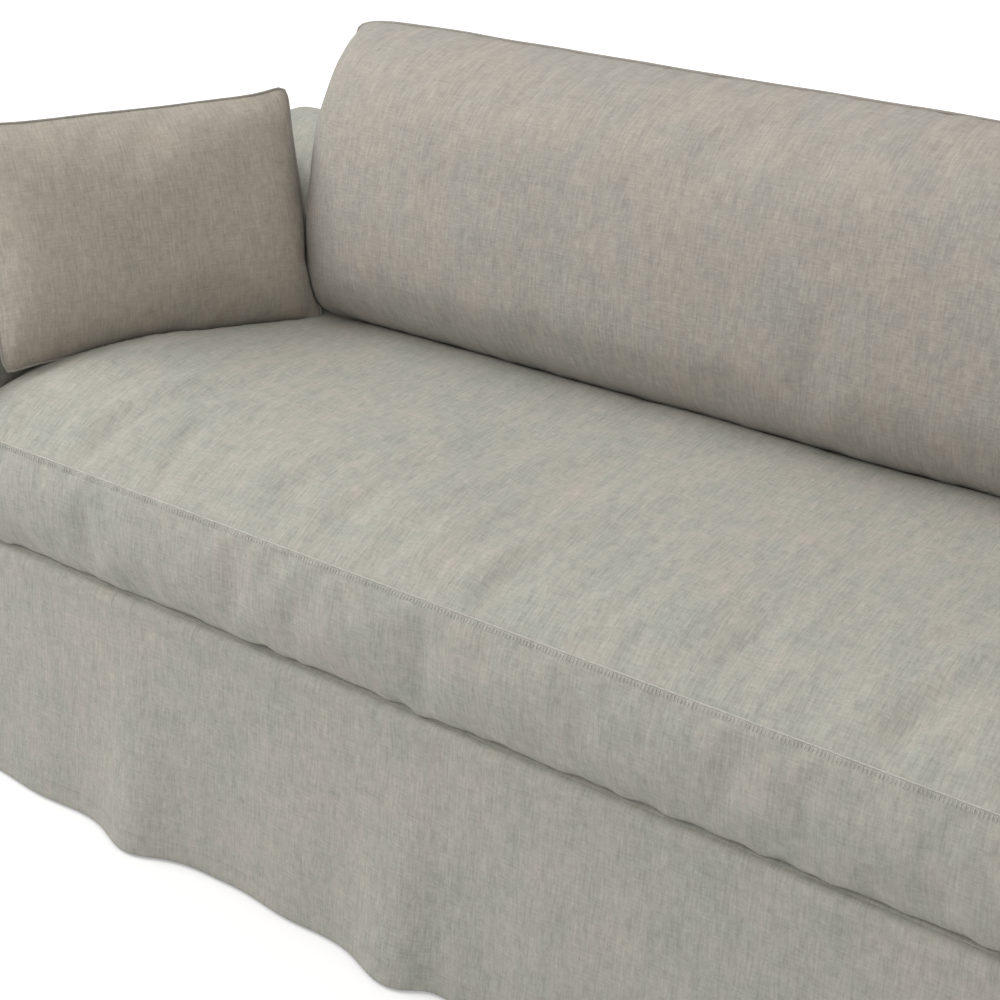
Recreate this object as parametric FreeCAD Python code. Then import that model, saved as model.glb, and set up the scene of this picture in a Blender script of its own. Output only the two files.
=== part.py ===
import FreeCAD, Part
import math
import os

V = FreeCAD.Vector
X = V(1, 0, 0)
Y = V(0, 1, 0)
Z = V(0, 0, 1)
SIDES = {"left": -1, "right": 1}

# A slipcovered sofa, in millimetres. The origin is on the floor under its middle, the seat faces -Y.

# Whole sofa
overall_width = 2120.0
overall_depth = 890.0
deck_height = 325.0
arm_thickness = 110.0
arm_front_height = 572.0
arm_rise = 7.0  # degrees that the arm climbs towards the back
back_height = 668.0
back_lean = 8.0  # degrees, inside face
back_base_depth = 220.0
back_top_depth = 176.0

# Cloth, padding and gaps
cloth = 3.0
padding = 18.0
ease = 0.3
soft_gap = 0.4
settling_steps = 13
slide_share = 1.1  # how far a settling cushion comes forward as it drops
overrun = 10.0

# Skirt
side_flare = 30.0
front_flare = 40.0
rear_flare = 36.0
hem_height = 4.0
fold_depth = 7.0
fold_pitch = 230.0
fold_shares = (0.5, -0.8, 1, -0.6, 0.7, -1, 0.4, -0.5)
knee_drop = 26.0
knee_out = 4.0

# Seat cushion
seat_side_gap = 5.0
seat_rear_gap = 7.0
boxing_height = 140.0
seat_crown = 48.0
seat_bulge = 9.0
seat_corner = 34.0
seat_fall = 430.0  # how far from an end the crown is full
seat_end_crown_share = 0.25
seat_fall_shares = (0, 0.15, 0.4, 0.7, 1)
seat_corner_steps = (90, 50, 20)  # degrees round each upright corner
seat_foam_wrap = 22.0

# Back cushion
back_cushion_width = 1510.0
back_cushion_height = 368.0
back_cushion_thickness = 256.0
back_cushion_lean = 16.0
back_cushion_foam_wrap = 30.0
back_end_shares = (1, 0.97, 0.92, 0.84, 0.72, 0.55, 0.25)
back_thick_shares = (0.06, 0.36, 0.62, 0.84, 0.96, 1, 1)
back_height_shares = (0.9, 0.96, 0.99, 1, 1, 1, 1)
welt_width = 5.0

# Throw pillows
pillow_length = 405.0
pillow_height = 300.0
pillow_thickness = 132.0
pillow_lean = 20.0
pillow_turn = 30.0
pillow_across = 820.0
pillow_forward = 140.0
pillow_reach = 40.0  # how far it is pushed home into its corner
pillow_end_shares = (1, 0.965, 0.88, 0.7, 0.45, 0.15)
pillow_thick_shares = (0.08, 0.24, 0.5, 0.78, 0.95, 1)
pillow_height_shares = (0.9, 0.99, 1, 0.98, 0.96, 0.95)

# Zips
zip_tape = 22.0
zip_thickness = 1.2
zip_chain_width = 6.0
zip_chain_height = 1.4
zip_slider_length = 11.0
zip_slider_width = 8.5
zip_slider_roof = 1.4
zip_pull_length = 16.0
zip_pull_width = 5.0
zip_pull_thickness = 1.2
seat_zip_length = 1500.0
back_zip_length = 900.0
back_zip_share = 0.72  # how far down the rear face its zip lies
zip_depth = 4.0  # how far a zip lies under the surface beside it

# Timber frame
rail_height = 118.0
rail_thickness = 28.0
post_depth = 45.0
panel_thickness = 3.0
arm_rail_height = 26.0
back_rail_height = 60.0
back_post_foot = 74.0
back_post_top = 46.0
upright_width = 45.0
upright_share = 0.33
stretcher_thickness = 36.0
stretcher_height = 70.0
corner_block_side = 118.0
corner_block_height = 52.0

# Legs
leg_top = 62.0
leg_foot = 44.0
glide_height = 6.0
glide_diameter = 30.0
glide_pin_diameter = 6.0
glide_pin_length = 16.0
bolt_diameter = 8.0
bolt_length = 78.0
bolt_grip = 36.0
bolt_fit = 0.2

# Spring deck
spring_count = 8
spring_wire = 4.0
spring_width = 46.0
spring_pitch = 29.0
spring_arch = 10.0
spring_end_share = 0.34
spring_edge_gap = 70.0
clip_sheet = 1.5
clip_length = 34.0
clip_foot = 9.0
deck_padding = 12.0
dust_sheet = 1.0

# Back webbing
strap_count = 11
strap_width = 50.0
strap_thickness = 2.0

# Places that follow from the sizes above
outer_x = overall_width / 2 - side_flare
inner_x = outer_x - arm_thickness
arm_x = outer_x - arm_thickness / 2
arm_edge = arm_thickness / 8
front_y = -overall_depth / 2 + front_flare
rear_y = overall_depth / 2 - rear_flare
back_inner_y = rear_y - back_base_depth
skin = cloth + ease + padding
seam_height = deck_height + boxing_height
back_tan = math.tan(math.radians(back_lean))
arm_tan = math.tan(math.radians(arm_rise))
spring_rise = clip_sheet + ease + spring_wire + spring_arch
rail_top = deck_height - cloth - deck_padding - ease - spring_rise
rail_bottom = rail_top - rail_height
frame_front = front_y + skin
frame_rear = rear_y - skin
frame_in_x = inner_x + skin + panel_thickness
frame_out_x = outer_x - skin - panel_thickness
leg_x = frame_in_x - leg_top / 2 - overrun
leg_front_y = frame_front + rail_thickness + leg_top / 2 + overrun
leg_rear_y = frame_rear - rail_thickness - leg_top / 2 - overrun


def polygon(points):
    return Part.Face(Part.makePolygon(points + [points[0]]))


def prism(points, along):
    return polygon(points).extrude(along)


def box(low, high):
    size = high - low
    return Part.makeBox(size.x, size.y, size.z, low)


def through(*points):
    """A line between two points, or an arc over the middle one of three."""
    if len(points) == 2:
        return Part.LineSegment(*points).toShape()
    return Part.Arc(*points).toShape()


def loft(wires, ruled=False):
    return Part.makeLoft(wires, True, ruled)


def solid_of(shape):
    """The one solid of a boolean's result, or a compound where there are several."""
    shape = shape.removeSplitter() if shape.ShapeType != "Solid" else shape
    return shape.Solids[0] if len(shape.Solids) == 1 else Part.makeCompound(shape.Solids)


def mirrored(shape):
    return shape.mirror(V(0, 0, 0), X)


def sided(shape, side):
    """A shape drawn on the right, put on its side."""
    return shape if side > 0 else mirrored(shape)


def back_inner_at(z):
    """Where the inside face of the back stands at a height."""
    return back_inner_y + (z - deck_height) * back_tan


def arm_crest_at(y):
    return arm_front_height + (y - front_y) * arm_tan


# Padded bodies under the slipcover

def arm_section(y, half, crest, low):
    """An upright slab's outline with a half-round top, across the arm."""
    shoulder = crest - half
    quarter = half * math.sqrt(0.5)
    left = V(arm_x - half, y, shoulder)
    right = V(arm_x + half, y, shoulder)
    top = V(arm_x, y, crest)
    return Part.Wire([
        through(V(arm_x - half, y, low), V(arm_x + half, y, low)),
        through(V(arm_x + half, y, low), right),
        through(right, V(arm_x + quarter, y, shoulder + quarter), top),
        through(top, V(arm_x - quarter, y, shoulder + quarter), left),
        through(left, V(arm_x - half, y, low)),
    ])


def arm_body(inset):
    """The right arm, a given distance under its outside, from its front into the back."""
    half = arm_thickness / 2 - inset
    front = front_y + inset
    rear = back_inner_at(back_height)
    low = deck_height
    return loft([
        arm_section(front, half - arm_edge / 2, arm_crest_at(front) - inset - arm_edge / 2, low),
        arm_section(front + arm_edge / 2, half - arm_edge / 8, arm_crest_at(front) - inset, low),
        arm_section(front + arm_edge, half, arm_crest_at(front + arm_edge) - inset, low),
        arm_section(rear, half, arm_crest_at(rear) - inset, low),
    ], ruled=True)


def back_profile(inset):
    """The back's outline from the side, leaning inside face, nearly upright outside face, round top."""
    top = back_height - inset
    radius = back_top_depth / 2 - inset
    shoulder = top - radius
    inner = back_inner_at(shoulder) + inset
    outer = inner + 2 * radius
    quarter = radius * math.sqrt(0.5)
    middle = (inner + outer) / 2
    low = deck_height
    points = [
        V(0, back_inner_at(low) + inset, low),
        V(0, rear_y - inset, low),
        V(0, outer, shoulder),
        V(0, middle, top),
        V(0, inner, shoulder),
    ]
    return Part.Wire([
        through(points[0], points[1]),
        through(points[1], points[2]),
        through(points[2], V(0, middle + quarter, shoulder + quarter), points[3]),
        through(points[3], V(0, middle - quarter, shoulder + quarter), points[4]),
        through(points[4], points[0]),
    ])


def back_body(inset):
    """The back, a given distance under its outside, with round shoulders at both ends."""
    half = outer_x - inset
    profile = back_profile(inset)
    profile.translate(V(-half, 0, 0))
    slab = Part.Face(profile).extrude(V(2 * half, 0, 0))
    radius = arm_thickness / 2 - inset
    quarter = radius * math.sqrt(0.5)
    top = back_height - inset
    low = deck_height
    y = back_inner_y - overrun
    outline = Part.Wire([
        through(V(-half, y, low), V(half, y, low)),
        through(V(half, y, low), V(half, y, top - radius)),
        through(V(half, y, top - radius),
                V(half - radius + quarter, y, top - radius + quarter), V(half - radius, y, top)),
        through(V(half - radius, y, top), V(radius - half, y, top)),
        through(V(radius - half, y, top),
                V(radius - half - quarter, y, top - radius + quarter), V(-half, y, top - radius)),
        through(V(-half, y, top - radius), V(-half, y, low)),
    ])
    front_view = Part.Face(outline).extrude(V(0, overall_depth, 0))
    return solid_of(slab.common(front_view))


def arm_hollow():
    """The room inside the right arm's padding, flat on top and open at the rear to the back post."""
    half = arm_thickness / 2 - skin
    front = front_y + skin
    low = deck_height - overrun
    top = post_top_at(front)
    rear_top = arm_rear_at(0)
    points = [
        V(arm_x - half, front, low), V(arm_x - half, back_post_front_at(low), low),
        V(arm_x - half, rear_top, post_top_at(rear_top)), V(arm_x - half, front, top),
    ]
    return prism(points, V(2 * half, 0, 0))


def arm_rear_at(drop):
    """Where a line so far under the arm's timber top meets the back post's leaning front."""
    foot = back_post_front_at(deck_height)
    rise = post_top_at(foot) - drop - deck_height
    return foot + rise * back_tan / (1 - back_tan * arm_tan)


def arm_cover(back):
    """The slipcover's arm, open below and where it is sewn to the back."""
    return solid_of(arm_body(0).cut(arm_body(cloth)).cut(back))


def arm_pad(back):
    return solid_of(arm_body(cloth + ease).cut(arm_hollow()).cut(back))


def both_hollows():
    hollow = arm_hollow()
    return Part.makeCompound([hollow, mirrored(hollow)])


def back_cover():
    """The slipcover's back, open below and where each arm's timber comes through to the back post."""
    return solid_of(back_body(0).cut(back_body(cloth)).cut(both_hollows()))


def back_pad():
    return solid_of(back_body(cloth + ease).cut(back_body(skin)).cut(both_hollows()))


def deck_cover():
    """The flat panel of the slipcover that lies under the seat cushion."""
    return box(V(-inner_x, front_y + cloth, deck_height - cloth),
               V(inner_x, back_inner_y, deck_height))


def deck_pad():
    low = deck_height - cloth - deck_padding
    return box(V(-inner_x, front_y + cloth, low), V(inner_x, back_inner_y, deck_height - cloth))


# Skirt

def skirt_level(start, end, out, depth):
    """One level of a skirt panel, a strip of cloth whose folds are shallow arcs in and out."""
    along = end - start
    count = 2 * max(1, round(along.Length / fold_pitch))
    along.normalize()
    inner_start = start + (along - out) * cloth
    inner_end = end - (along + out) * cloth
    rows = []
    for a, b in ((start, end), (inner_start, inner_end)):
        step = (b - a) / count
        row = []
        for i in range(count):
            swing = depth * fold_shares[i % len(fold_shares)]
            p, q = a + step * i, a + step * (i + 1)
            row.append(through(p, (p + q) / 2 + out * swing, q) if swing else through(p, q))
        rows.append(row)
    outer, inner = rows
    return Part.Wire(outer + [through(end, inner_end)] + inner[::-1] + [through(inner_start, start)])


def skirt_corner(side_x, side_y, level):
    """Where two panels meet at a level: the seam, the soft knee under it, or the hem."""
    flare = front_flare if side_y < 0 else rear_flare
    knee_share = knee_drop / (deck_height - hem_height)
    out_x, out_y, height = {
        "seam": (0, 0, deck_height - ease),
        "knee": (side_flare * knee_share + knee_out, flare * knee_share + knee_out,
                 deck_height - knee_drop),
        "hem": (side_flare - fold_depth, flare - fold_depth, hem_height),
    }[level]
    edge = front_y if side_y < 0 else rear_y
    return V(side_x * (outer_x + out_x), edge + side_y * out_y, height)


def skirts():
    """The four hanging panels, each from its seam over a soft knee down to a folded hem."""
    turns = {"front": ((-1, -1), (1, -1), -Y), "right": ((1, -1), (1, 1), X),
             "rear": ((1, 1), (-1, 1), Y), "left": ((-1, 1), (-1, -1), -X)}
    panels = {}
    for name, (a, b, out) in turns.items():
        wires = [skirt_level(skirt_corner(*a, level), skirt_corner(*b, level), out,
                             fold_depth if level == "hem" else 0)
                 for level in ("seam", "knee", "hem")]
        panels[name + "_skirt"] = solid_of(loft(wires, ruled=True))
    return panels


# Timber frame

def post_top_at(y):
    return arm_crest_at(y) - arm_thickness / 2


def front_rail():
    return box(V(-frame_in_x, frame_front, rail_bottom),
               V(frame_in_x, frame_front + rail_thickness, rail_top))


def rear_rail():
    return box(V(-frame_in_x, frame_rear - rail_thickness, rail_bottom),
               V(frame_in_x, frame_rear, rail_top))


def side_rail():
    return box(V(frame_in_x, frame_front + post_depth, rail_bottom),
               V(frame_in_x + rail_thickness, frame_rear - back_post_foot, rail_top))


def centre_stretcher(bolt_place):
    low = rail_bottom
    half = stretcher_thickness / 2
    stretcher = box(V(-half, frame_front + rail_thickness, low),
                    V(half, frame_rear - rail_thickness, low + stretcher_height))
    return solid_of(stretcher.cut(bolt_hole(bolt_place)))


def arm_post():
    """The front post of the right arm, from the rail's foot to the arm rail."""
    a, b = frame_front, frame_front + post_depth
    top_a, top_b = (post_top_at(y) - arm_rail_height for y in (a, b))
    points = [V(frame_in_x, a, rail_bottom), V(frame_in_x, b, rail_bottom),
              V(frame_in_x, b, top_b), V(frame_in_x, a, top_a)]
    return prism(points, V(frame_out_x - frame_in_x, 0, 0))


def back_post_front_at(z):
    return back_inner_at(z) + skin + strap_thickness


def back_post_profile(x):
    """The shaped back post: an upright foot at the rear rail, then a tapering lean."""
    foot = frame_rear - back_post_foot
    knee = rail_top + post_depth
    top = back_height - skin - back_top_depth / 4
    return [
        V(x, foot, rail_bottom), V(x, frame_rear, rail_bottom), V(x, frame_rear, rail_top),
        V(x, back_post_front_at(top) + back_post_top, top), V(x, back_post_front_at(top), top),
        V(x, back_post_front_at(knee), knee), V(x, foot, rail_top),
    ]


def back_post():
    return prism(back_post_profile(frame_in_x), V(frame_out_x - frame_in_x, 0, 0))


def arm_rail():
    """The sloping top rail of the right arm, over its front post and against the back post."""
    front = frame_front
    rear, rear_low = arm_rear_at(0), arm_rear_at(arm_rail_height)
    points = [V(frame_in_x, front, post_top_at(front) - arm_rail_height),
              V(frame_in_x, front, post_top_at(front)),
              V(frame_in_x, rear, post_top_at(rear)),
              V(frame_in_x, rear_low, post_top_at(rear_low) - arm_rail_height)]
    return prism(points, V(frame_out_x - frame_in_x, 0, 0))


def arm_panels():
    """The two boards nailed to the inside and the outside of the right arm's timber."""
    front = frame_front
    rear = arm_rear_at(0)
    points = [V(0, front, deck_height), V(0, back_post_front_at(deck_height), deck_height),
              V(0, rear, post_top_at(rear)), V(0, front, post_top_at(front))]
    board = prism(points, V(panel_thickness, 0, 0))
    places = (frame_in_x - panel_thickness, frame_out_x)
    return Part.makeCompound([board.translated(V(x, 0, 0)) for x in places])


def back_rail(low, high, depth):
    """A rail between the back posts with its front along their lean."""
    x = -frame_in_x
    points = [V(x, back_post_front_at(low), low), V(x, back_post_front_at(low) + depth, low),
              V(x, back_post_front_at(high) + depth, high), V(x, back_post_front_at(high), high)]
    return prism(points, V(2 * frame_in_x, 0, 0))


def back_rail_heights():
    top = back_height - skin - back_top_depth / 4
    low = rail_top + post_depth
    return low, low + back_rail_height, top - back_rail_height, top


def back_uprights():
    _, low, high, _ = back_rail_heights()
    depth = back_post_top
    uprights = []
    for side in SIDES.values():
        x = side * upright_share * frame_in_x - upright_width / 2
        points = [V(x, back_post_front_at(low), low), V(x, back_post_front_at(low) + depth, low),
                  V(x, back_post_front_at(high) + depth, high), V(x, back_post_front_at(high), high)]
        uprights.append(prism(points, V(upright_width, 0, 0)))
    return Part.makeCompound(uprights)


def back_webbing():
    """Upright straps side by side, stretched over the fronts of the back's two rails."""
    low = back_rail_heights()[0]
    high = back_height - back_top_depth / 2
    pitch = 2 * frame_in_x / strap_count
    points = [V(0, back_post_front_at(z) - thick, z)
              for z, thick in ((low, strap_thickness), (low, 0), (high, 0), (high, strap_thickness))]
    strap = prism(points, V(strap_width, 0, 0))
    places = [pitch * (i + 0.5) - frame_in_x - strap_width / 2 for i in range(strap_count)]
    return Part.makeCompound([strap.translated(V(x, 0, 0)) for x in places])


def corner_blocks(bolt_places):
    """Glued blocks in the corners of the seat frame, each drilled for its leg's bolt."""
    x, side = frame_in_x, corner_block_side
    blocks = []
    for sx in SIDES.values():
        for y, sy in ((frame_front + rail_thickness, 1), (frame_rear - rail_thickness, -1)):
            points = [V(sx * x, y, rail_bottom), V(sx * (x - side), y, rail_bottom),
                      V(sx * (x - side), y + sy * side / 3, rail_bottom),
                      V(sx * (x - side / 3), y + sy * side, rail_bottom),
                      V(sx * x, y + sy * side, rail_bottom)]
            blocks.append(prism(points, V(0, 0, corner_block_height)))
    holes = [bolt_hole(place) for place in bolt_places]
    return Part.makeCompound([solid_of(b.cut(Part.makeCompound(holes))) for b in blocks])


# Legs

def leg_places():
    places = {}
    for name, side in SIDES.items():
        places["front_" + name] = V(side * leg_x, leg_front_y, 0)
        places["rear_" + name] = V(side * leg_x, leg_rear_y, 0)
    places["middle"] = V(0, (leg_front_y + leg_rear_y) / 2, 0)
    return places


def square(half, place, z):
    corners = [V(-half, -half, z), V(half, -half, z), V(half, half, z), V(-half, half, z)]
    return Part.makePolygon([place + c for c in corners + corners[:1]])


def leg(place):
    """A tapered square leg, bored above for its bolt and below for the pin of its glide."""
    form = loft([square(leg_foot / 2, place, glide_height),
                 square(leg_top / 2, place, rail_bottom)], ruled=True)
    pin = Part.makeCylinder(glide_pin_diameter / 2 + bolt_fit, glide_pin_length + ease,
                            place + Z * glide_height)
    return solid_of(form.cut(bolt_hole(place)).cut(pin))


def glide(place):
    """A nylon glide, a button with a softened foot, on a pin up into the leg."""
    radius = glide_diameter / 2
    foot = Part.makeCone(radius - glide_height / 3, radius, glide_height / 3, place)
    button = Part.makeCylinder(radius, glide_height - glide_height / 3, place + Z * (glide_height / 3))
    pin = Part.makeCylinder(glide_pin_diameter / 2, glide_pin_length, place + Z * glide_height)
    return solid_of(foot.fuse(button).fuse(pin))


def bolt_low():
    return rail_bottom - bolt_grip


def bolt_hole(place):
    return Part.makeCylinder(bolt_diameter / 2 + bolt_fit, bolt_length + 2 * ease,
                             place + Z * (bolt_low() - ease))


def bolt(place):
    return Part.makeCylinder(bolt_diameter / 2, bolt_length, place + Z * bolt_low())


# Spring deck

def spring_path(x):
    """The centre line of one zigzag spring, arched from clip to clip and seen from above as S bends."""
    start = frame_front + rail_thickness / 2
    end = frame_rear - rail_thickness / 2
    bends = 2 * round((end - start) / spring_pitch / 2)
    pitch = (end - start) / bends
    base = rail_top + clip_sheet + ease + spring_wire / 2
    half = spring_width / 2
    points = []
    for i in range(bends + 1):
        y = start + pitch * i
        turn = 1 if i % 2 else -1
        reach = half * (1 - spring_end_share)
        run = [(-turn * reach, y), (turn * reach, y), (turn * half, y + pitch / 2)]
        run = run[:2] if i == bends else run
        for across, place in run:
            t = (place - start) / (end - start)
            rise = spring_arch * 4 * t * (1 - t)
            points.append(V(x + across, place, base + rise))
    return points


def wire_along(points, diameter, sides=6):
    """A wire of a few flats along a path of straight runs, mitred at every bend."""
    radius = diameter / 2
    sections = []
    for i, point in enumerate(points):
        before = (point - points[i - 1]).normalize() if i else None
        after = (points[i + 1] - point).normalize() if i + 1 < len(points) else None
        before, after = before or after, after or before
        middle = (before + after).normalize()
        across = before.cross(Z).normalize()
        up = across.cross(before).normalize()
        corners = []
        for k in range(sides):
            angle = 2 * math.pi * (k + 0.5) / sides
            offset = across * (radius * math.cos(angle)) + up * (radius * math.sin(angle))
            slide = -offset.dot(middle) / before.dot(middle)
            corners.append(point + offset + before * slide)
        sections.append(Part.makePolygon(corners + corners[:1]))
    return loft(sections, ruled=True)


def spring_places():
    span = 2 * (inner_x - spring_edge_gap)
    return [-span / 2 + span * i / (spring_count - 1) for i in range(spring_count)]


def seat_springs():
    return Part.makeCompound([wire_along(spring_path(x), spring_wire) for x in spring_places()])


def spring_clip(x, y):
    """A folded clip on the rail: a foot, a wall and a lip over the spring's last run."""
    inside = spring_wire + 2 * ease
    z = rail_top
    a = y - inside / 2
    b = y + inside / 2
    t = clip_sheet
    outline = [(a - t - clip_foot, 0), (b, 0), (b, t), (a, t), (a, t + inside), (b, t + inside),
               (b, 2 * t + inside), (a - t, 2 * t + inside), (a - t, t), (a - t - clip_foot, t)]
    low = x - clip_length / 2
    clip = prism([V(low, p, z + q) for p, q in outline], V(clip_length, 0, 0))
    return clip


def spring_clips():
    """The clips, with their walls outwards at both rails."""
    front = frame_front + rail_thickness / 2
    rear = frame_rear - rail_thickness / 2
    clips = []
    for x in spring_places():
        clips.append(spring_clip(x, front))
        clips.append(spring_clip(x, rear).mirror(V(x, rear, 0), Y))
    return Part.makeCompound(clips)


def dust_cover(places):
    """The thin cloth under the frame, with an opening for each leg."""
    low = rail_bottom - dust_sheet
    sheet = box(V(-frame_out_x, frame_front, low), V(frame_out_x, frame_rear, rail_bottom))
    for place in places:
        half = leg_top / 2 + ease
        sheet = sheet.cut(box(place + V(-half, -half, low - overrun),
                              place + V(half, half, rail_bottom + overrun)))
    return solid_of(sheet)


# Cushions

def both_ways(shares, sign=1):
    """Shares for the left half, then mirrored ones for the right half."""
    return [-sign * s if sign > 0 else s for s in shares] + list(shares[::-1])


def seat_stations(half):
    """Places along the seat cushion from its end: the steps of the round corner, then the crown's."""
    steps = [seat_corner * (1 - math.sin(math.radians(a))) for a in seat_corner_steps]
    steps += [seat_corner + (seat_fall - seat_corner) * s for s in seat_fall_shares]
    return [step for step in steps if step < half]


def seat_form(inset):
    """A boxed cushion: flat under, bulging boxing, and a crown that falls to the seams."""
    half = inner_x - seat_side_gap - inset
    front = front_y + inset
    rear = back_inner_y - seat_rear_gap - inset
    low = deck_height + ease + inset
    seam = seam_height - inset
    middle = (low + seam) / 2
    left = []
    for d in seat_stations(half):
        reach = max(0, seat_corner - d)
        corner = seat_corner - math.sqrt(seat_corner ** 2 - reach ** 2)
        fall = math.sin(math.pi / 2 * min(1, d / seat_fall))
        rise = seat_crown * (seat_end_crown_share + (1 - seat_end_crown_share) * fall)
        bulge = seat_bulge * max(seat_end_crown_share, 1 - corner / seat_corner)
        left.append((d - half, corner, rise, bulge))
    wires = []
    for x, corner, rise, bulge in left + [(-x, *rest) for x, *rest in left[::-1]]:
        a, b = front + corner, rear - corner
        wires.append(Part.Wire([
            through(V(x, a, low), V(x, b, low)),
            through(V(x, b, low), V(x, b + bulge / 2, middle), V(x, b, seam)),
            through(V(x, b, seam), V(x, (a + b) / 2, seam + rise), V(x, a, seam)),
            through(V(x, a, seam), V(x, a - bulge, middle), V(x, a, low)),
        ]))
    return loft(wires)


def puffed_form(length, height, thickness, end_shares, thick_shares, height_shares, inset):
    """A knife-edged cushion about the origin: length along X, height along Z, seams all round."""
    half = length / 2 - inset
    wires = []
    for x_share, thick, tall in zip(both_ways(end_shares), both_ways(thick_shares, -1),
                                    both_ways(height_shares, -1)):
        x = half * x_share
        top = height / 2 * tall - 2 * inset
        puff = thickness / 2 * thick - inset
        puff = max(puff, welt_width / 4)
        low, high = V(x, 0, -top), V(x, 0, top)
        wires.append(Part.Wire([through(low, V(x, puff, 0), high),
                                through(high, V(x, -puff, 0), low)]))
    return loft(wires)


def back_cushion_form(inset):
    return puffed_form(back_cushion_width, back_cushion_height, back_cushion_thickness,
                       back_end_shares, back_thick_shares, back_height_shares, inset)


def pillow_form(inset):
    return puffed_form(pillow_length, pillow_height, pillow_thickness,
                       pillow_end_shares, pillow_thick_shares, pillow_height_shares, inset)


def placed(shape, turn, lean, place):
    """A cushion leaned back by its top, then turned about the upright, then moved."""
    shape = shape.copy()
    shape.rotate(V(0, 0, 0), X, -lean)
    shape.rotate(V(0, 0, 0), Z, turn)
    return shape.translated(place)


def give_way(turn):
    """The way down for a leaning cushion that its support holds up: forward as much as it must."""
    turned = math.radians(turn)
    return V(slide_share * math.sin(turned), -slide_share * math.cos(turned), -1)


def settled(shape, supports, ways):
    """How far a shape goes when it is pushed each way in turn until it all but touches a support."""
    total = V(0, 0, 0)
    support = Part.makeCompound(supports)
    for way in ways:
        low, high = 0.0, 1.0
        for _ in range(settling_steps):
            middle = (low + high) / 2
            near = shape.translated(total + way * middle).distToShape(support)[0] < soft_gap
            low, high = (low, middle) if near else (middle, high)
        total = total + way * low
    return total


# Zips, drawn along X with their face towards +Y and the tape's back at y = 0

def zip_strip(length):
    tape = box(V(-length / 2, 0, -zip_tape / 2), V(length / 2, zip_thickness, zip_tape / 2))
    chain = box(V(-length / 2, zip_thickness, -zip_chain_width / 2),
                V(length / 2, zip_thickness + zip_chain_height, zip_chain_width / 2))
    return solid_of(tape.fuse(chain))


def zip_slider():
    """A slider astride the chain with its pull hanging along it."""
    half = zip_slider_length / 2
    low = zip_thickness + ease
    roof_low = zip_thickness + zip_chain_height + ease
    roof = roof_low + zip_slider_roof
    body = box(V(-half, low, -zip_slider_width / 2), V(half, roof, zip_slider_width / 2))
    tunnel = box(V(-half - overrun, low, -zip_chain_width / 2 - ease),
                 V(half + overrun, roof_low, zip_chain_width / 2 + ease))
    pull = box(V(-half, roof, -zip_pull_width / 2),
               V(zip_pull_length - half, roof + zip_pull_thickness, zip_pull_width / 2))
    return solid_of(body.cut(tunnel).fuse(pull))


def zip_window(length):
    """What the zip takes out of the cloth and filling around it."""
    margin = ease
    return box(V(-length / 2 - margin, -margin, -zip_tape / 2 - margin),
               V(length / 2 + margin, zip_tape, zip_tape / 2 + margin))


def zip_at(shape, turn, tilt, place):
    """A zip piece with its face tilted down from +Y, turned, and set at its place."""
    shape = shape.copy()
    shape.rotate(V(0, 0, 0), X, -tilt)
    shape.rotate(V(0, 0, 0), Z, turn)
    return shape.translated(place)


def cushion_set(form, core, hollow, zip_length, zip_tilt, zip_place):
    """A cushion's cover, filling, core, closed zip and slider, in its own frame."""
    window = zip_at(zip_window(zip_length), 0, zip_tilt, zip_place)
    slider_place = zip_place + X * (zip_slider_length - zip_length / 2)
    return {
        "cover": solid_of(form(0).cut(form(cloth)).cut(window)),
        "filling": solid_of(form(cloth + ease).cut(window).cut(hollow)),
        "core": core,
        "zip": zip_at(zip_strip(zip_length), 0, zip_tilt, zip_place),
        "zip_slider": zip_at(zip_slider(), 0, zip_tilt, slider_place),
    }


def foam_block(grow):
    """The seat cushion's block of foam, or with a little added, the room it takes in its wrap."""
    wrap = seat_foam_wrap - grow
    half = inner_x - seat_side_gap - wrap
    return box(V(-half, front_y + wrap, deck_height + wrap),
               V(half, back_inner_y - seat_rear_gap - wrap, seam_height - wrap / 4))


def seat_cushion():
    rear = back_inner_y - seat_rear_gap
    place = V(0, rear - zip_depth, (deck_height + seam_height) / 2)
    return cushion_set(seat_form, foam_block(0), foam_block(ease), seat_zip_length, 0, place)


def puffed_surface(height, thickness, share):
    """Place and slope of a puffed cushion's rear face, at a share of its half height under the middle."""
    half, puff = height / 2, thickness / 2
    radius = (half * half + puff * puff) / (2 * puff)
    z = -half * share
    y = puff - radius + math.sqrt(radius * radius - z * z)
    slope = math.degrees(math.asin(-z / radius))
    return V(0, y, z), slope


def back_cushion():
    place, slope = puffed_surface(back_cushion_height, back_cushion_thickness, back_zip_share)
    place = place - V(0, zip_depth, 0)
    core, hollow = (back_cushion_form(back_cushion_foam_wrap - grow) for grow in (0, ease))
    return cushion_set(back_cushion_form, core, hollow, back_zip_length, slope, place)


def pillow():
    """A pillow's cover, sewn shut, and the insert that fills it."""
    return {"cover": solid_of(pillow_form(0).cut(pillow_form(cloth))),
            "insert": pillow_form(cloth + ease)}


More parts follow.
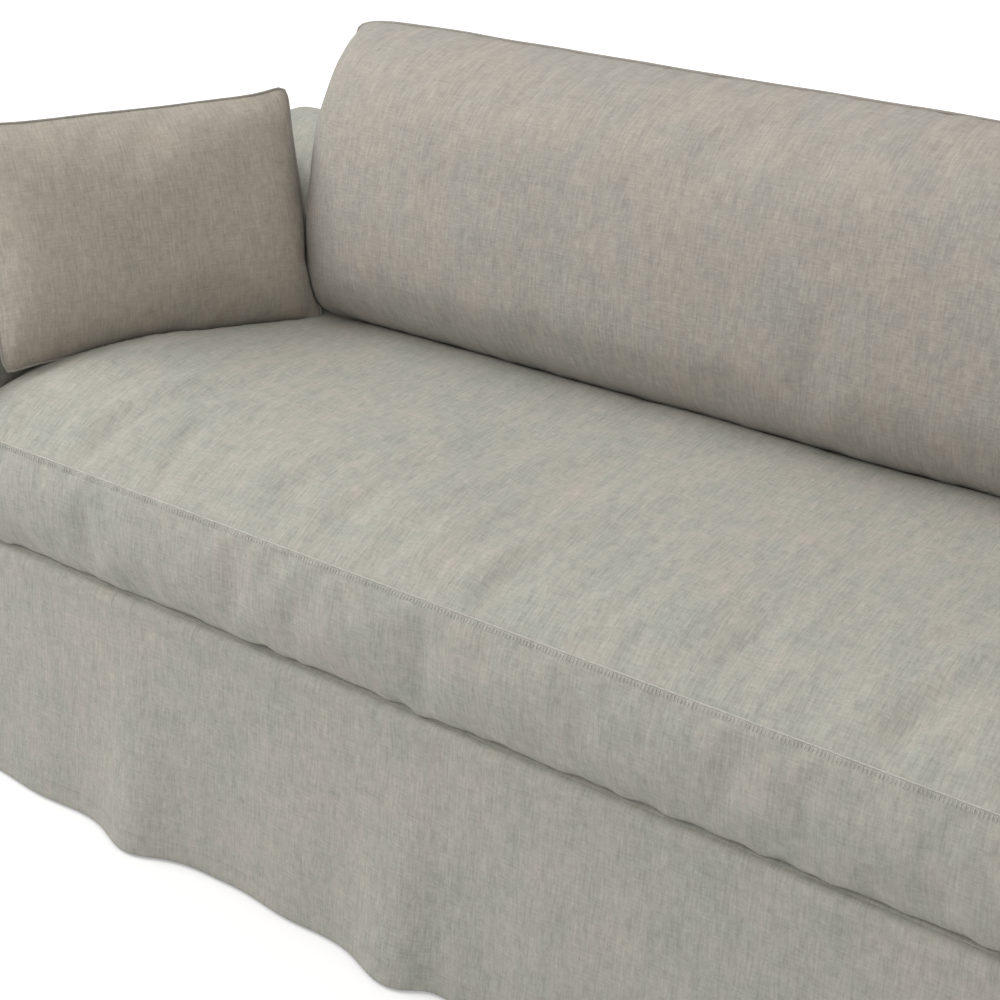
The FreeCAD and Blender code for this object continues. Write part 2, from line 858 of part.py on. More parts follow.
def build():
    nodes = {}
    legs = leg_places()
    places = list(legs.values())
    back = back_body(0)
    nodes["front_rail"] = front_rail()
    nodes["rear_rail"] = rear_rail()
    nodes["centre_stretcher"] = centre_stretcher(legs["middle"])
    low, mid_low, mid_high, high = back_rail_heights()
    nodes["back_lower_rail"] = back_rail(low, mid_low, back_post_top)
    nodes["back_top_rail"] = back_rail(mid_high, high, back_post_top)
    nodes["back_uprights"] = back_uprights()
    nodes["back_webbing"] = back_webbing()
    nodes["back_pad"] = back_pad()
    nodes["back_cover"] = back_cover()
    nodes["deck_pad"] = deck_pad()
    nodes["deck_cover"] = deck_cover()
    nodes["corner_blocks"] = corner_blocks(places[:-1])
    nodes["seat_springs"] = seat_springs()
    nodes["spring_clips"] = spring_clips()
    nodes["dust_cover"] = dust_cover(places)
    nodes["leg_glides"] = Part.makeCompound([glide(p) for p in places])
    nodes["leg_bolts"] = Part.makeCompound([bolt(p) for p in places])
    for name, place in legs.items():
        nodes[name + "_leg"] = leg(place)
    one_side = {
        "side_rail": side_rail(), "arm_post": arm_post(), "arm_rail": arm_rail(),
        "arm_panels": arm_panels(), "arm_pad": arm_pad(back), "arm_cover": arm_cover(back),
        "back_post": back_post(),
    }
    for side_name, side in SIDES.items():
        for name, shape in one_side.items():
            nodes[side_name + "_" + name] = sided(shape, side)
    nodes.update(skirts())

    seat_outside = seat_form(0)
    for name, shape in seat_cushion().items():
        nodes["seat_cushion_" + name] = shape

    crest = seam_height + seat_crown
    lean = math.radians(back_cushion_lean)
    place = V(0, 0, crest + back_cushion_height / 2 * math.cos(lean))
    outside = placed(back_cushion_form(0), 0, back_cushion_lean, place)
    seating = settled(outside, [seat_outside, back],
                      [-Z * seat_crown, Y * back_inner_y, give_way(0) * seat_crown,
                       Y * seat_crown])
    outside.translate(seating)
    print("back cushion settles at", place + seating)
    for name, shape in back_cushion().items():
        nodes["back_cushion_" + name] = placed(shape, 0, back_cushion_lean, place + seating)

    arm = arm_body(0)
    turn = pillow_turn - 90
    high = V(pillow_across - pillow_reach, -pillow_forward - pillow_reach,
             crest + pillow_height / 2)
    upright = placed(pillow_form(0), turn, pillow_lean, high)
    seating = settled(upright, [seat_outside, outside, arm],
                      [-Z * pillow_height / 2, Y * 2 * pillow_reach, X * 2 * pillow_reach,
                       give_way(turn) * seat_crown, Y * pillow_reach, X * pillow_reach])
    print("pillow settles at", high + seating)
    for name, shape in pillow().items():
        right = placed(shape, turn, pillow_lean, high + seating)
        for side_name, side in SIDES.items():
            nodes[side_name + "_pillow_" + name] = sided(right, side)
    return nodes


def export(nodes):
    os.makedirs("parts", exist_ok=True)
    for name, shape in nodes.items():
        shape.exportStep("parts/" + name + ".step")
        print(name, shape.ShapeType, len(shape.Solids), round(shape.Volume / 1000.0), shape.isValid())
    print(len(nodes), "nodes")


export(build())
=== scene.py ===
import math

import bmesh
import bpy
from bpy.props import FloatProperty, FloatVectorProperty, IntProperty, PointerProperty
from mathutils import Matrix, Vector, noise
from mathutils.bvhtree import BVHTree


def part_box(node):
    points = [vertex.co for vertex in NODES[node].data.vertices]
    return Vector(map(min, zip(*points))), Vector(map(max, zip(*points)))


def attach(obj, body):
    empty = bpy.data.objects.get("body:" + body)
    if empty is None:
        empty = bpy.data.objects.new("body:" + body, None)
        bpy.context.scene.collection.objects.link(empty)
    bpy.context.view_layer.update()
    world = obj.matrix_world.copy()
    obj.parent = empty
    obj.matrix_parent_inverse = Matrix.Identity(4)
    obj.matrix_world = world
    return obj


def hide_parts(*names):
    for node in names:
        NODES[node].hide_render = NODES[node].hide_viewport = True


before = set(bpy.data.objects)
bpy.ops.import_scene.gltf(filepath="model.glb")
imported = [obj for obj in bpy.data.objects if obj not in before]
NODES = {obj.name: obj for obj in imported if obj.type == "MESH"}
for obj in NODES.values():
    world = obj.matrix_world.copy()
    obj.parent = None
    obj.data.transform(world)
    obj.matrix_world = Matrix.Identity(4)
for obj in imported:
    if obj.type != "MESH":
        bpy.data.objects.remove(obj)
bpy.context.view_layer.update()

bl_info = {
    "name": "Slipcovered sofa",
    "version": (1, 0, 0),
    "blender": (4, 5, 0),
    "location": "View3D > Sidebar > Sofa",
    "description": "Dresses the sofa's frame in its linen slipcover, cushions and pillows",
    "category": "Object",
}

SIDES = {"left": -1, "right": 1}
CLOTH_MAP = "Cloth"
FRONTWARD = Vector((0, -1, 0))
DOWN = Vector((0, 0, -1))

# Where the deck, the back and the right arm of the solids lie
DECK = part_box("deck_cover")[1][2]
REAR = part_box("back_cover")[1][1]
ARM_INNER, ARM_FRONT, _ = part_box("right_arm_cover")[0]
ARM_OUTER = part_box("right_arm_cover")[1][0]


def mid_of(node):
    low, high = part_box(node)
    return (Vector(low) + Vector(high)) / 2


def ripple(x, y, z):
    """Smooth noise, between about -1 and 1."""
    return noise.noise(Vector((x, y, z)))


def bell(value, middle, width):
    return math.exp(-((value - middle) / width) ** 2)


def evenly(reach, step):
    """Places from -reach to reach, about a step apart."""
    count = round(2 * reach / step)
    return [-reach + 2 * reach * i / count for i in range(count + 1)]


# Node trees

class Wire:
    """A socket that takes arithmetic: an expression on wires adds its Math nodes."""

    def __init__(self, graph, socket):
        self.graph = graph
        self.socket = socket

    def maths(self, operation, other, turned=False):
        pair = (other, self) if turned else (self, other)
        return self.graph.node("ShaderNodeMath", dict(enumerate(pair)), operation=operation)

    def __add__(self, other):
        return self.maths("ADD", other)

    def __radd__(self, other):
        return self.maths("ADD", other, True)

    def __sub__(self, other):
        return self.maths("SUBTRACT", other)

    def __rsub__(self, other):
        return self.maths("SUBTRACT", other, True)

    def __mul__(self, other):
        return self.maths("MULTIPLY", other)

    def __rmul__(self, other):
        return self.maths("MULTIPLY", other, True)


class Graph:
    """One node tree, whose nodes all come from one method."""

    def __init__(self, tree):
        self.tree = tree
        tree.nodes.clear()

    def node(self, kind, values=None, out=0, stops=(), **settings):
        made = self.tree.nodes.new(kind)
        for key, value in settings.items():
            setattr(made, key, value)
        if stops:
            for stop, (place, shade) in zip(made.color_ramp.elements, stops):
                stop.position = place
                stop.color = (shade, shade, shade, 1)
        for key, value in (values or {}).items():
            socket = self.find(made.inputs, key)
            if isinstance(value, Wire):
                self.tree.links.new(value.socket, socket)
            else:
                socket.default_value = value
        return Wire(self, self.find(made.outputs, out)) if made.outputs else made

    def find(self, sockets, key):
        if isinstance(key, int):
            return sockets[key]
        for socket in sockets:
            if socket.identifier == key:
                return socket
        return sockets[key]

    def other(self, wire, out):
        """Another output of the node that a wire comes from."""
        return Wire(self, self.find(wire.socket.node.outputs, out))

    def place(self):
        return self.node("ShaderNodeTexCoord", out="Object")

    def axes(self, place):
        x = self.node("ShaderNodeSeparateXYZ", {0: place})
        return x, self.other(x, "Y"), self.other(x, "Z")

    def sine(self, value):
        return self.node("ShaderNodeMath", {0: value}, operation="SINE")

    def scaled(self, colour, by):
        return self.node("ShaderNodeVectorMath", {0: colour, "Scale": by}, operation="SCALE")

    def noise(self, place, scale, detail, rough=0.5):
        return self.node("ShaderNodeTexNoise", {"Vector": place, "Scale": scale, "Detail": detail,
                                                "Roughness": rough}, noise_dimensions="3D")

    def strands(self, place, stretch, detail=3, rough=0.5):
        """Noise that is finer along one axis than along another."""
        stretched = self.node("ShaderNodeVectorMath", {0: place, 1: stretch},
                              operation="MULTIPLY")
        return self.noise(stretched, 1.0, detail, rough)

    def ramp(self, value, *stops):
        return self.node("ShaderNodeValToRGB", {0: value}, stops=stops)

    def mixed(self, share, first, second):
        return self.node("ShaderNodeMix", {"Factor_Float": share, "A_Color": (*first, 1.0),
                                           "B_Color": (*second, 1.0)}, out="Result_Color",
                         data_type="RGBA")


def new_material(name):
    material = bpy.data.materials.new(name)
    material.use_nodes = True
    return material, Graph(material.node_tree)


def finish(name, **constants):
    """Starts a material and gives its graph and a call that closes it."""
    material, graph = new_material(name)

    def close(base, rough, height, depth, strength):
        bump = graph.node("ShaderNodeBump", {"Height": height, "Distance": depth,
                                             "Strength": strength})
        shader = graph.node("ShaderNodeBsdfPrincipled", {"Base Color": base, "Roughness": rough,
                                                         "Normal": bump, **constants})
        graph.node("ShaderNodeOutputMaterial", {"Surface": shader})
        return material

    return graph, close


# Slubs of the linen: the noise's scale on each axis, its detail, and its weight in the shade of a
# worn cloth and of any cloth
SLUBS = {
    "across": ((60, 400, 400), 2, 0.32, 0.0),
    "along": ((400, 42, 42), 2, 0.5, 0.0),
    "fine across": ((170, 1000, 1000), 1, 0.0, 0.2),
    "fine along": ((1000, 170, 170), 1, 0.0, 0.28),
    "wide along": ((70, 13, 13), 3, 0.0, 0.3),
    "wide across": ((16, 70, 70), 3, 0.0, 0.18),
    "patchy": ((130, 95, 95), 2, 0.26, 0.0),
}


def linen(name, cool, warm, thread, mapped=True, wear=1.0):
    """Washed linen: a plain weave with slubs both ways and blotches of two tones along the
    threads. Cloth that isn't mapped flat takes them from its place."""
    graph, close = finish(name, **{"Sheen Weight": 0.12, "Sheen Roughness": 0.6,
                                   "Specular IOR Level": 0.25})
    place = graph.node("ShaderNodeUVMap", uv_map=CLOTH_MAP) if mapped else graph.place()
    u, v, w = graph.axes(place)
    depth = v if mapped else v + w
    cloud = graph.noise(place, 15.0, 3, 0.6)
    broad = graph.noise(place, 4.0, 2)
    shade = (cloud - 0.5) * 0.12 + (broad - 0.5) * 0.14 + 1.0
    slub = {}
    for kind, (stretch, detail, worn, plain) in SLUBS.items():
        slub[kind] = graph.strands(place, stretch, detail)
        shade = shade + (slub[kind] - 0.5) * (worn * wear + plain)
    tone = (cloud * 0.45 + slub["wide across"] * 0.3 + slub["wide along"] * 0.35
            + broad * 0.35)
    base = graph.mixed(graph.ramp(tone, (0.6, 0.0), (0.86, 1.0)), cool, warm)
    turn = 2 * math.pi / thread
    weave = graph.sine(u * turn) * graph.sine(depth * turn)
    height = (weave * 0.16 + (slub["across"] + slub["along"]) * 0.9
              + (slub["fine across"] + slub["fine along"]) * 0.5)
    return close(graph.scaled(base, shade), 0.86 + (cloud - 0.5) * 0.16, height, 0.0011, 0.55)


def timber(name, pale, dark):
    graph, close = finish(name)
    grain = graph.strands(graph.place(), (3, 60, 60), 5, 0.6)
    rings = graph.strands(graph.place(), (1.2, 14, 14))
    share = graph.ramp(grain * 0.6 + rings * 0.5, (0.4, 0.0), (0.75, 1.0))
    return close(graph.mixed(share, pale, dark), 0.5 + grain * 0.3, grain + rings, 0.0008, 0.5)


def fibreboard(name, colour):
    graph, close = finish(name)
    chips = graph.noise(graph.place(), 420.0, 4, 0.7)
    return close(graph.scaled(colour, chips * 0.7 + 0.65), 0.75 + chips * 0.2, chips, 0.0006, 0.5)


def wadding(name, colour):
    graph, close = finish(name, **{"Sheen Weight": 0.2})
    tufts = graph.noise(graph.place(), 60.0, 5, 0.7)
    hairs = graph.strands(graph.place(), (90, 500, 500), 3, 0.7)
    return close(graph.scaled(colour, tufts * 0.25 + hairs * 0.15 + 0.8), 0.9 + tufts * 0.08,
                 tufts + hairs * 0.5, 0.004, 0.6)


def foam(name, colour):
    graph, close = finish(name)
    cells = graph.node("ShaderNodeTexVoronoi", {"Vector": graph.place(), "Scale": 520.0})
    cloud = graph.noise(graph.place(), 12.0, 3)
    return close(graph.scaled(colour, cells * 0.3 + cloud * 0.2 + 0.75), 0.85 + cells * 0.1,
                 cells, 0.001, 0.6)


def steel(name, colour):
    graph, close = finish(name, Metallic=1.0)
    drawn = graph.strands(graph.place(), (300, 20, 300))
    spots = graph.noise(graph.place(), 45.0, 4, 0.65)
    return close(graph.scaled(colour, spots * 0.5 + 0.7), 0.22 + drawn * 0.2 + spots * 0.15,
                 drawn, 0.0002, 0.4)


def nylon(name, colour, rib):
    """Moulded or woven nylon, with ribs at a pitch."""
    graph, close = finish(name)
    mottle = graph.noise(graph.place(), 180.0, 3)
    x, _, z = graph.axes(graph.place())
    ribs = graph.sine((x + z) * (2 * math.pi / rib))
    return close(graph.scaled(colour, mottle * 0.3 + ribs * 0.06 + 0.85), 0.4 + mottle * 0.25,
                 ribs * 0.5 + mottle, 0.0003, 0.6)


# Meshes

CAP_ROWS = (0.86, 0.6, 0.3, 0.0)  # shares of the way from an end panel's spine to its rim
PRESS_REACH = 0.09  # how far a cushion's points look for what they rest on
DENT_REACH = 0.15


def linked(name, mesh):
    made = bpy.data.objects.new(name, mesh)
    bpy.context.scene.collection.objects.link(made)
    return made


class Panels:
    """Points and panels of cloth that share their seams, each panel with its own thread
    directions."""

    def __init__(self):
        self.points = []
        self.faces = []
        self.corners = []

    def point(self, place):
        self.points.append(Vector(place))
        return len(self.points) - 1

    def row(self, places):
        return [self.point(p) for p in places]

    def met(self, line, place):
        """The number of the line's point at this place, or of a new one."""
        for number in line:
            if (self.points[number] - place).length < 1e-5:
                return number
        return self.point(place)

    def panel(self, rows, flat, centre):
        """Faces between rows of point numbers that look away from the centre. flat gives each
        point's place on the flat cloth."""
        first = len(self.faces)
        for r in range(len(rows) - 1):
            for c in range(len(rows[r]) - 1):
                cell = [(r, c), (r, c + 1), (r + 1, c + 1), (r + 1, c)]
                face = [rows[a][b] for a, b in cell]
                kept = [k for k in range(4) if face.index(face[k]) == k]
                if len(kept) > 2:
                    self.faces.append([face[k] for k in kept])
                    self.corners.append([flat(*cell[k]) for k in kept])
        total = 0.0
        for face in self.faces[first:]:
            a, b, c = (self.points[i] for i in face[:3])
            total += (b - a).cross(c - a).dot(a - Vector(centre))
        if total < 0:
            self.faces[first:] = [face[::-1] for face in self.faces[first:]]
            self.corners[first:] = [spots[::-1] for spots in self.corners[first:]]

    def tree(self):
        return BVHTree.FromPolygons(self.points, self.faces)

    def mesh(self, name):
        mesh = bpy.data.meshes.new(name)
        mesh.from_pydata([p[:] for p in self.points], [], self.faces)
        layer = mesh.uv_layers.new(name=CLOTH_MAP)
        layer.data.foreach_set("uv", [x for spots in self.corners for spot in spots for x in spot])
        mesh.polygons.foreach_set("use_smooth", [True] * len(mesh.polygons))
        return mesh

    def cap(self, rim, spine_of, centre, axes, bow=0.0):
        """A flat end panel inside a rim: rows that draw in towards a spine. axes are those of
        the cloth."""
        rows = [rim]
        for share in CAP_ROWS:
            line = []
            for number in rim:
                place = self.points[number]
                point = spine_of(place).lerp(place, share)
                point.y -= bow * (1 - share * share)
                line.append(self.met(line, point))
            rows.append(line)
        self.panel(rows, lambda r, c: [self.points[rows[r][c]][axis] for axis in axes], centre)


def rim_of(grid):
    """The point numbers round the border of a grid."""
    return ([line[0] for line in grid] + grid[-1][1:]
            + [line[-1] for line in grid[-2::-1]] + grid[0][-2:0:-1])


def along(places):
    """How far along a line each of its places lies."""
    found = [0.0]
    for a, b in zip(places, places[1:]):
        found.append(found[-1] + (b - a).length)
    return found


def eased(panels, kept):
    """Moves the points halfway to the middle of their neighbours, except the kept ones."""
    near = [set() for _ in panels.points]
    for face in panels.faces:
        for a, b in zip(face, face[1:] + face[:1]):
            near[a].add(b)
            near[b].add(a)
    moved = []
    for i, place in enumerate(panels.points):
        if i not in kept and near[i]:
            middle = sum((panels.points[j] for j in near[i]), Vector()) / len(near[i])
            place = place.lerp(middle, 0.5)
        moved.append(place)
    panels.points = moved


def pressed(panels, seam, trees, gap):
    """Flattens a cushion where it rests on its neighbours, before and after easing its form."""
    for again in (True, False):
        for tree in trees:
            for i, place in enumerate(panels.points):
                near, out, _, _ = tree.find_nearest(place, PRESS_REACH)
                if near is not None and (place - near).dot(out) < gap:
                    panels.points[i] = near + out * gap
        if again:
            eased(panels, set(seam))


def dented(panels, tops, trees, gap):
    """Lowers the top of a cushion under what rests on it, and tells which points moved."""
    moved = set()
    for tree in trees:
        for i in tops:
            place = panels.points[i]
            near, out, _, _ = tree.find_nearest(place, DENT_REACH)
            if near is None or (place - near).dot(out) > 0:
                continue
            under = tree.ray_cast(place, DOWN)[0]
            if under is not None:
                panels.points[i] = under + DOWN * gap
                moved.add(i)
    return moved


def swollen(panels, pinned, slack, cap, frames=20):
    """Blender's cloth fills the cover and lets it wrinkle. The cloth is larger by the slack, and
    no point moves further than the cap."""
    start = [p.copy() for p in panels.points]
    helper = linked("helper", panels.mesh("helper"))
    group = helper.vertex_groups.new(name="seams")
    group.add(list(pinned), 1.0, "REPLACE")
    cloth = helper.modifiers.new("Cloth", "CLOTH")
    for key, value in {"quality": 6, "mass": 0.3, "tension_stiffness": 15,
                       "compression_stiffness": 15, "shear_stiffness": 5,
                       "bending_stiffness": 0.4, "air_damping": 2, "use_pressure": True,
                       "uniform_pressure_force": 2.0, "shrink_min": -slack,
                       "vertex_group_mass": "seams", "pin_stiffness": 1}.items():
        setattr(cloth.settings, key, value)
    cloth.settings.effector_weights.gravity = 0
    cloth.point_cache.frame_start = 1
    cloth.point_cache.frame_end = frames
    for step in range(1, frames + 1):
        bpy.context.scene.frame_set(step)
    mesh = helper.evaluated_get(bpy.context.evaluated_depsgraph_get()).to_mesh()
    for i, vertex in enumerate(mesh.vertices):
        shift = vertex.co - start[i]
        if shift.length > cap:
            shift = shift.normalized() * cap
        panels.points[i] = start[i] + shift
    bpy.data.objects.remove(helper)
    bpy.context.scene.frame_set(1)


def baked(piece):
    """The mesh of a piece with its modifiers applied."""
    graph = bpy.context.evaluated_depsgraph_get()
    return bpy.data.meshes.new_from_object(piece.evaluated_get(graph))


def moved_by(mesh, shift):
    """Moves each point of a mesh along its normal. shift takes its place and normal."""
    spots = [(vertex.co.copy(), vertex.normal.copy()) for vertex in mesh.vertices]
    moved = [place + out * shift(place, out) for place, out in spots]
    mesh.vertices.foreach_set("co", [x for place in moved for x in place])


def dressed(name, panels, body, material, levels=1, thickness=0.0, sewn=(), relief=None):
    """The finished piece of some panels, subdivided, and given a thickness where it is one layer
    of cloth. The edges of a sewn seam stay where they are. relief gives small wrinkles."""
    piece = linked(name, panels.mesh(name))
    if sewn:
        sewn = set(sewn)
        crease = piece.data.attributes.new("crease_edge", "FLOAT", "EDGE")
        for edge in piece.data.edges:
            crease.data[edge.index].value = float(sewn.issuperset(edge.vertices))
    piece.data.materials.append(material)
    if thickness:
        wall = piece.modifiers.new("Cloth", "SOLIDIFY")
        wall.thickness = thickness
        wall.offset = -1
    if levels:
        soft = piece.modifiers.new("Soft", "SUBSURF")
        soft.levels = soft.render_levels = levels
    mesh = baked(piece)
    piece.modifiers.clear()
    piece.data = mesh
    mesh.name = name
    if relief:
        moved_by(mesh, relief)
    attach(piece, body)
    return piece


def laid_on(piece, places, lift):
    """Places moved to the nearest points of a finished piece, a little above its surface, and
    the directions in which the surface looks there."""
    mesh = piece.data
    tree = BVHTree.FromPolygons([v.co for v in mesh.vertices], [p.vertices for p in mesh.polygons])
    found = [tree.find_nearest(place) for place in places]
    return [near + out * lift for near, out, _, _ in found], [out for _, out, _, _ in found]


def welded_copy(node, change=None):
    """A copy of a node's mesh without its materials and with its points joined."""
    mesh = NODES[node].data.copy()
    mesh.materials.clear()
    work = bmesh.new()
    work.from_mesh(mesh)
    bmesh.ops.remove_doubles(work, verts=work.verts, dist=1e-5)
    if change:
        change(work)
    work.to_mesh(mesh)
    work.free()
    return mesh


def soft_copy(node, name, body, material, voxel, inset, lumps=0.0012):
    """A padded copy of a node's form, remeshed, set in and made a little lumpy inwards."""
    piece = linked(name, welded_copy(node))
    remesh = piece.modifiers.new("Voxels", "REMESH")
    remesh.mode = "VOXEL"
    remesh.voxel_size = voxel
    piece.modifiers.new("Ease", "SMOOTH").iterations = 2
    mesh = baked(piece)
    piece.modifiers.clear()
    piece.data = mesh
    moved_by(mesh, lambda place, out: -(inset + lumps * (0.5 + 0.5 * noise.noise(place * 22))))
    mesh.polygons.foreach_set("use_smooth", [True] * len(mesh.polygons))
    mesh.materials.append(material)
    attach(piece, body)
    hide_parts(node)
    return piece


# Threads and welts

def seam_tree(name, numbers, whole, look, build):
    """A tree that follows a seam in even steps. build makes the form from the steps and the rest
    of the numbers."""
    tree = bpy.data.node_groups.new(name, "GeometryNodeTree")
    inputs = {"Seam": "Geometry", **dict.fromkeys(numbers, "Float"), whole: "Int",
              look: "Material"}
    for title, kind in inputs.items():
        tree.interface.new_socket(title, in_out="INPUT", socket_type="NodeSocket" + kind)
    tree.interface.new_socket(name, in_out="OUTPUT", socket_type="NodeSocketGeometry")
    graph = Graph(tree)
    seam = graph.node("NodeGroupInput", out="Seam")
    step, *rest, material = (graph.other(seam, title) for title in (*numbers, whole, look))
    line = graph.node("GeometryNodeMeshToCurve", {"Mesh": seam})
    steps = graph.node("GeometryNodeResampleCurve", {"Curve": line, "Length": step},
                       mode="LENGTH")
    form = build(graph, steps, *rest)
    plain = graph.node("GeometryNodeRealizeInstances", {"Geometry": form})
    done = graph.node("GeometryNodeSetMaterial", {"Geometry": plain, "Material": material})
    graph.node("NodeGroupOutput", {name: done})
    return tree


def stitch_beads(graph, steps, length, width, seed):
    """Stitches along a seam, each lying on the cloth in its own direction."""
    out, run = (graph.node("GeometryNodeInputNamedAttribute", {"Name": title},
                           data_type="FLOAT_VECTOR") for title in ("out", "run"))
    upright = graph.node("FunctionNodeAlignRotationToVector", {"Vector": out}, axis="Z")
    turned = graph.node("FunctionNodeAlignRotationToVector", {"Rotation": upright, "Vector": run},
                        axis="X", pivot_axis="Z")
    vary = graph.node("FunctionNodeRandomValue", {"Min_001": 0.75, "Max_001": 1.2, "Seed": seed},
                      out="Value_001", data_type="FLOAT")
    size = graph.node("ShaderNodeCombineXYZ", {"X": length * vary * 0.5, "Y": width * 0.5,
                                               "Z": width * 0.5})
    bead = graph.node("GeometryNodeMeshUVSphere", {"Segments": 5, "Rings": 4, "Radius": 1.0})
    return graph.node("GeometryNodeInstanceOnPoints", {"Points": steps, "Instance": bead,
                                                       "Rotation": turned, "Scale": size})


def round_welt(graph, steps, radius, sides):
    """A round welt that follows a seam."""
    ring = graph.node("GeometryNodeCurvePrimitiveCircle", {"Resolution": sides, "Radius": radius})
    tube = graph.node("GeometryNodeCurveToMesh", {"Curve": steps, "Profile Curve": ring,
                                                  "Fill Caps": True})
    return graph.node("GeometryNodeSetShadeSmooth", {"Geometry": tube})


def grown(name, body, tree, places, closed, layers=None, **inputs):
    """The plain piece that a tree makes along a line of places. layers are directions at the
    places: out of the cloth and along the stitch."""
    mesh = bpy.data.meshes.new("seam")
    count = len(places)
    edges = [(i, (i + 1) % count) for i in range(count if closed else count - 1)]
    mesh.from_pydata([p[:] for p in places], edges, [])
    for title, values in (layers or {}).items():
        layer = mesh.attributes.new(title, "FLOAT_VECTOR", "POINT")
        layer.data.foreach_set("vector", [x for v in values for x in v])
    helper = linked("helper", mesh)
    modifier = helper.modifiers.new("Grow", "NODES")
    modifier.node_group = tree
    for item in tree.interface.items_tree:
        if item.in_out == "INPUT" and item.name in inputs:
            modifier[item.identifier] = inputs[item.name]
    made = baked(helper)
    bpy.data.objects.remove(helper)
    piece = linked(name, made)
    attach(piece, body)
    return piece


def welted(name, body, places, closed, radius, material, step=0.008, sides=6):
    """A round cord of cloth or thread along a seam."""
    tree = shared("Welt", seam_tree, ("Step", "Radius"), "Sides", "Cloth", round_welt)
    grown(name, body, tree, places, closed, Step=step, Radius=radius, Sides=sides, Cloth=material)


def stitched(name, body, places, closed, outs, runs, pitch, length, width, material):
    """Stitches along a seam. outs and runs are their directions out of the cloth and along it."""
    tree = shared("Stitches", seam_tree, ("Pitch", "Length", "Width"), "Seed", "Thread",
                  stitch_beads)
    grown(name, body, tree, places, closed, {"out": outs, "run": runs}, Pitch=pitch,
          Length=length, Width=width, Seed=sizes().seed, Thread=material)


def runs_of(places, closed):
    """The direction of a line at each of its places."""
    count = len(places)
    found = []
    for i in range(count):
        before = places[i - 1] if closed or i else places[i]
        after = places[(i + 1) % count] if closed or i + 1 < count else places[i]
        found.append((after - before).normalized())
    return found


# Sizes and colours

def length(name, description, default, least=0.0):
    return FloatProperty(name=name, description=description, default=default, min=least,
                         unit="LENGTH", precision=4)


def angle(name, description, degrees):
    return FloatProperty(name=name, description=description, default=math.radians(degrees),
                         subtype="ANGLE")


def paint(name, description, default):
    return FloatVectorProperty(name=name, description=description, default=default, min=0.0,
                               max=1.0, size=3, subtype="COLOR")


class SofaSizes(bpy.types.PropertyGroup):
    mesh_step: length("Mesh step", "How far apart the points of the cloth stand", 0.013)
    thread: length("Thread", "Width of a pair of threads in the weave", 0.0013)
    cloth: length("Cloth", "Thickness of the linen", 0.0026)
    welt: length("Welt", "Thickness of the welt on the loose cushions", 0.004)
    seat_crown: length("Seat crown", "Rise of the seat cushion's middle over its seams", 0.048)
    seat_corner: length("Seat corner", "Radius of the seat cushion's upright corners", 0.034)
    seat_bulge: length("Boxing bulge", "How far the seat's front boxing swells", 0.012)
    seat_fall: length("Seat end fall", "How far from its ends the seat's crown is full", 0.13)
    back_length: length("Back cushion length", "Seam to seam", 1.51)
    back_height: length("Back cushion height", "Seam to seam", 0.368)
    back_thickness: length("Back cushion thickness", "At its fullest", 0.256)
    pillow_length: length("Pillow length", "Seam to seam", 0.405)
    pillow_height: length("Pillow height", "Seam to seam", 0.3)
    pillow_thickness: length("Pillow thickness", "At its fullest", 0.132)
    hem_tuck: length("Hem tuck", "How far the hem hangs inside the folds' reach", 0.007)
    skirt_roll: length("Skirt roll", "How far the skirt's top stands over the deck", -0.001, -0.01)
    serge_pitch: length("Serging pitch", "How far apart the serging's stitches lie", 0.0038)
    serge_length: length("Serging stitch", "Length of the serging's stitches", 0.0065)
    back_lean: angle("Back cushion lean", "From the upright", 16)
    pillow_lean: angle("Pillow lean", "From the upright", 20)
    pillow_turn: angle("Pillow turn", "From facing straight inwards", 30)
    seed: IntProperty(name="Seed", description="Varies the stitches", default=7)


class SofaColours(bpy.types.PropertyGroup):
    cool: paint("Linen, cool", "Green-grey tone of the washed linen", (0.370, 0.377, 0.330))
    warm: paint("Linen, warm", "Pinkish tone of the washed linen", (0.389, 0.363, 0.321))
    # The back cushion's tones are the linen made darker and warmer: painted shade, standing in for
    # the light on the back cushion
    back_shaded_cool: paint("Back linen, cool", "Cool tone of the back cushion", (0.353, 0.338, 0.300))
    back_shaded_warm: paint("Back linen, warm", "Warm tone of the back cushion", (0.355, 0.320, 0.278))
    # The pillows' tones are the linen made darker and warmer still: painted shade, standing in for
    # the shade the pillows sit in
    pillow_shaded_cool: paint("Pillow linen, cool", "Cool tone of the pillows", (0.345, 0.318, 0.268))
    pillow_shaded_warm: paint("Pillow linen, warm", "Warm tone of the pillows", (0.340, 0.300, 0.250))
    thread: paint("Serging thread", "Whitish thread of the seat's seam", (0.57, 0.56, 0.51))
    timber_pale: paint("Timber, pale", "Early wood of the frame", (0.52, 0.36, 0.20))
    timber_dark: paint("Timber, dark", "Late wood of the frame", (0.34, 0.20, 0.10))
    board: paint("Fibreboard", "Panels of the arms", (0.26, 0.17, 0.10))
    wadding: paint("Wadding", "Polyester fibre", (0.80, 0.80, 0.77))
    foam: paint("Foam", "Cushion cores", (0.72, 0.66, 0.48))
    steel: paint("Spring steel", "Springs, clips and bolts", (0.42, 0.42, 0.43))
    nylon: paint("Nylon", "Glides", (0.55, 0.54, 0.50))
    webbing: paint("Webbing", "Straps of the back", (0.16, 0.14, 0.12))
    dust: paint("Dust cloth", "Cloth under the frame", (0.035, 0.035, 0.038))
    zip: paint("Zip", "Tape, chain and slider", (0.30, 0.28, 0.245))


def sizes():
    return bpy.context.scene.sofa_sizes


def colours():
    return bpy.context.scene.sofa_colours


made = {}  # finishes, trees and forms that several pieces share


def shared(name, maker, *values, **more):
    if name not in made:
        made[name] = maker(name, *values, **more)
    return made[name]


def paler(colour, by):
    return tuple(x * by for x in colour)


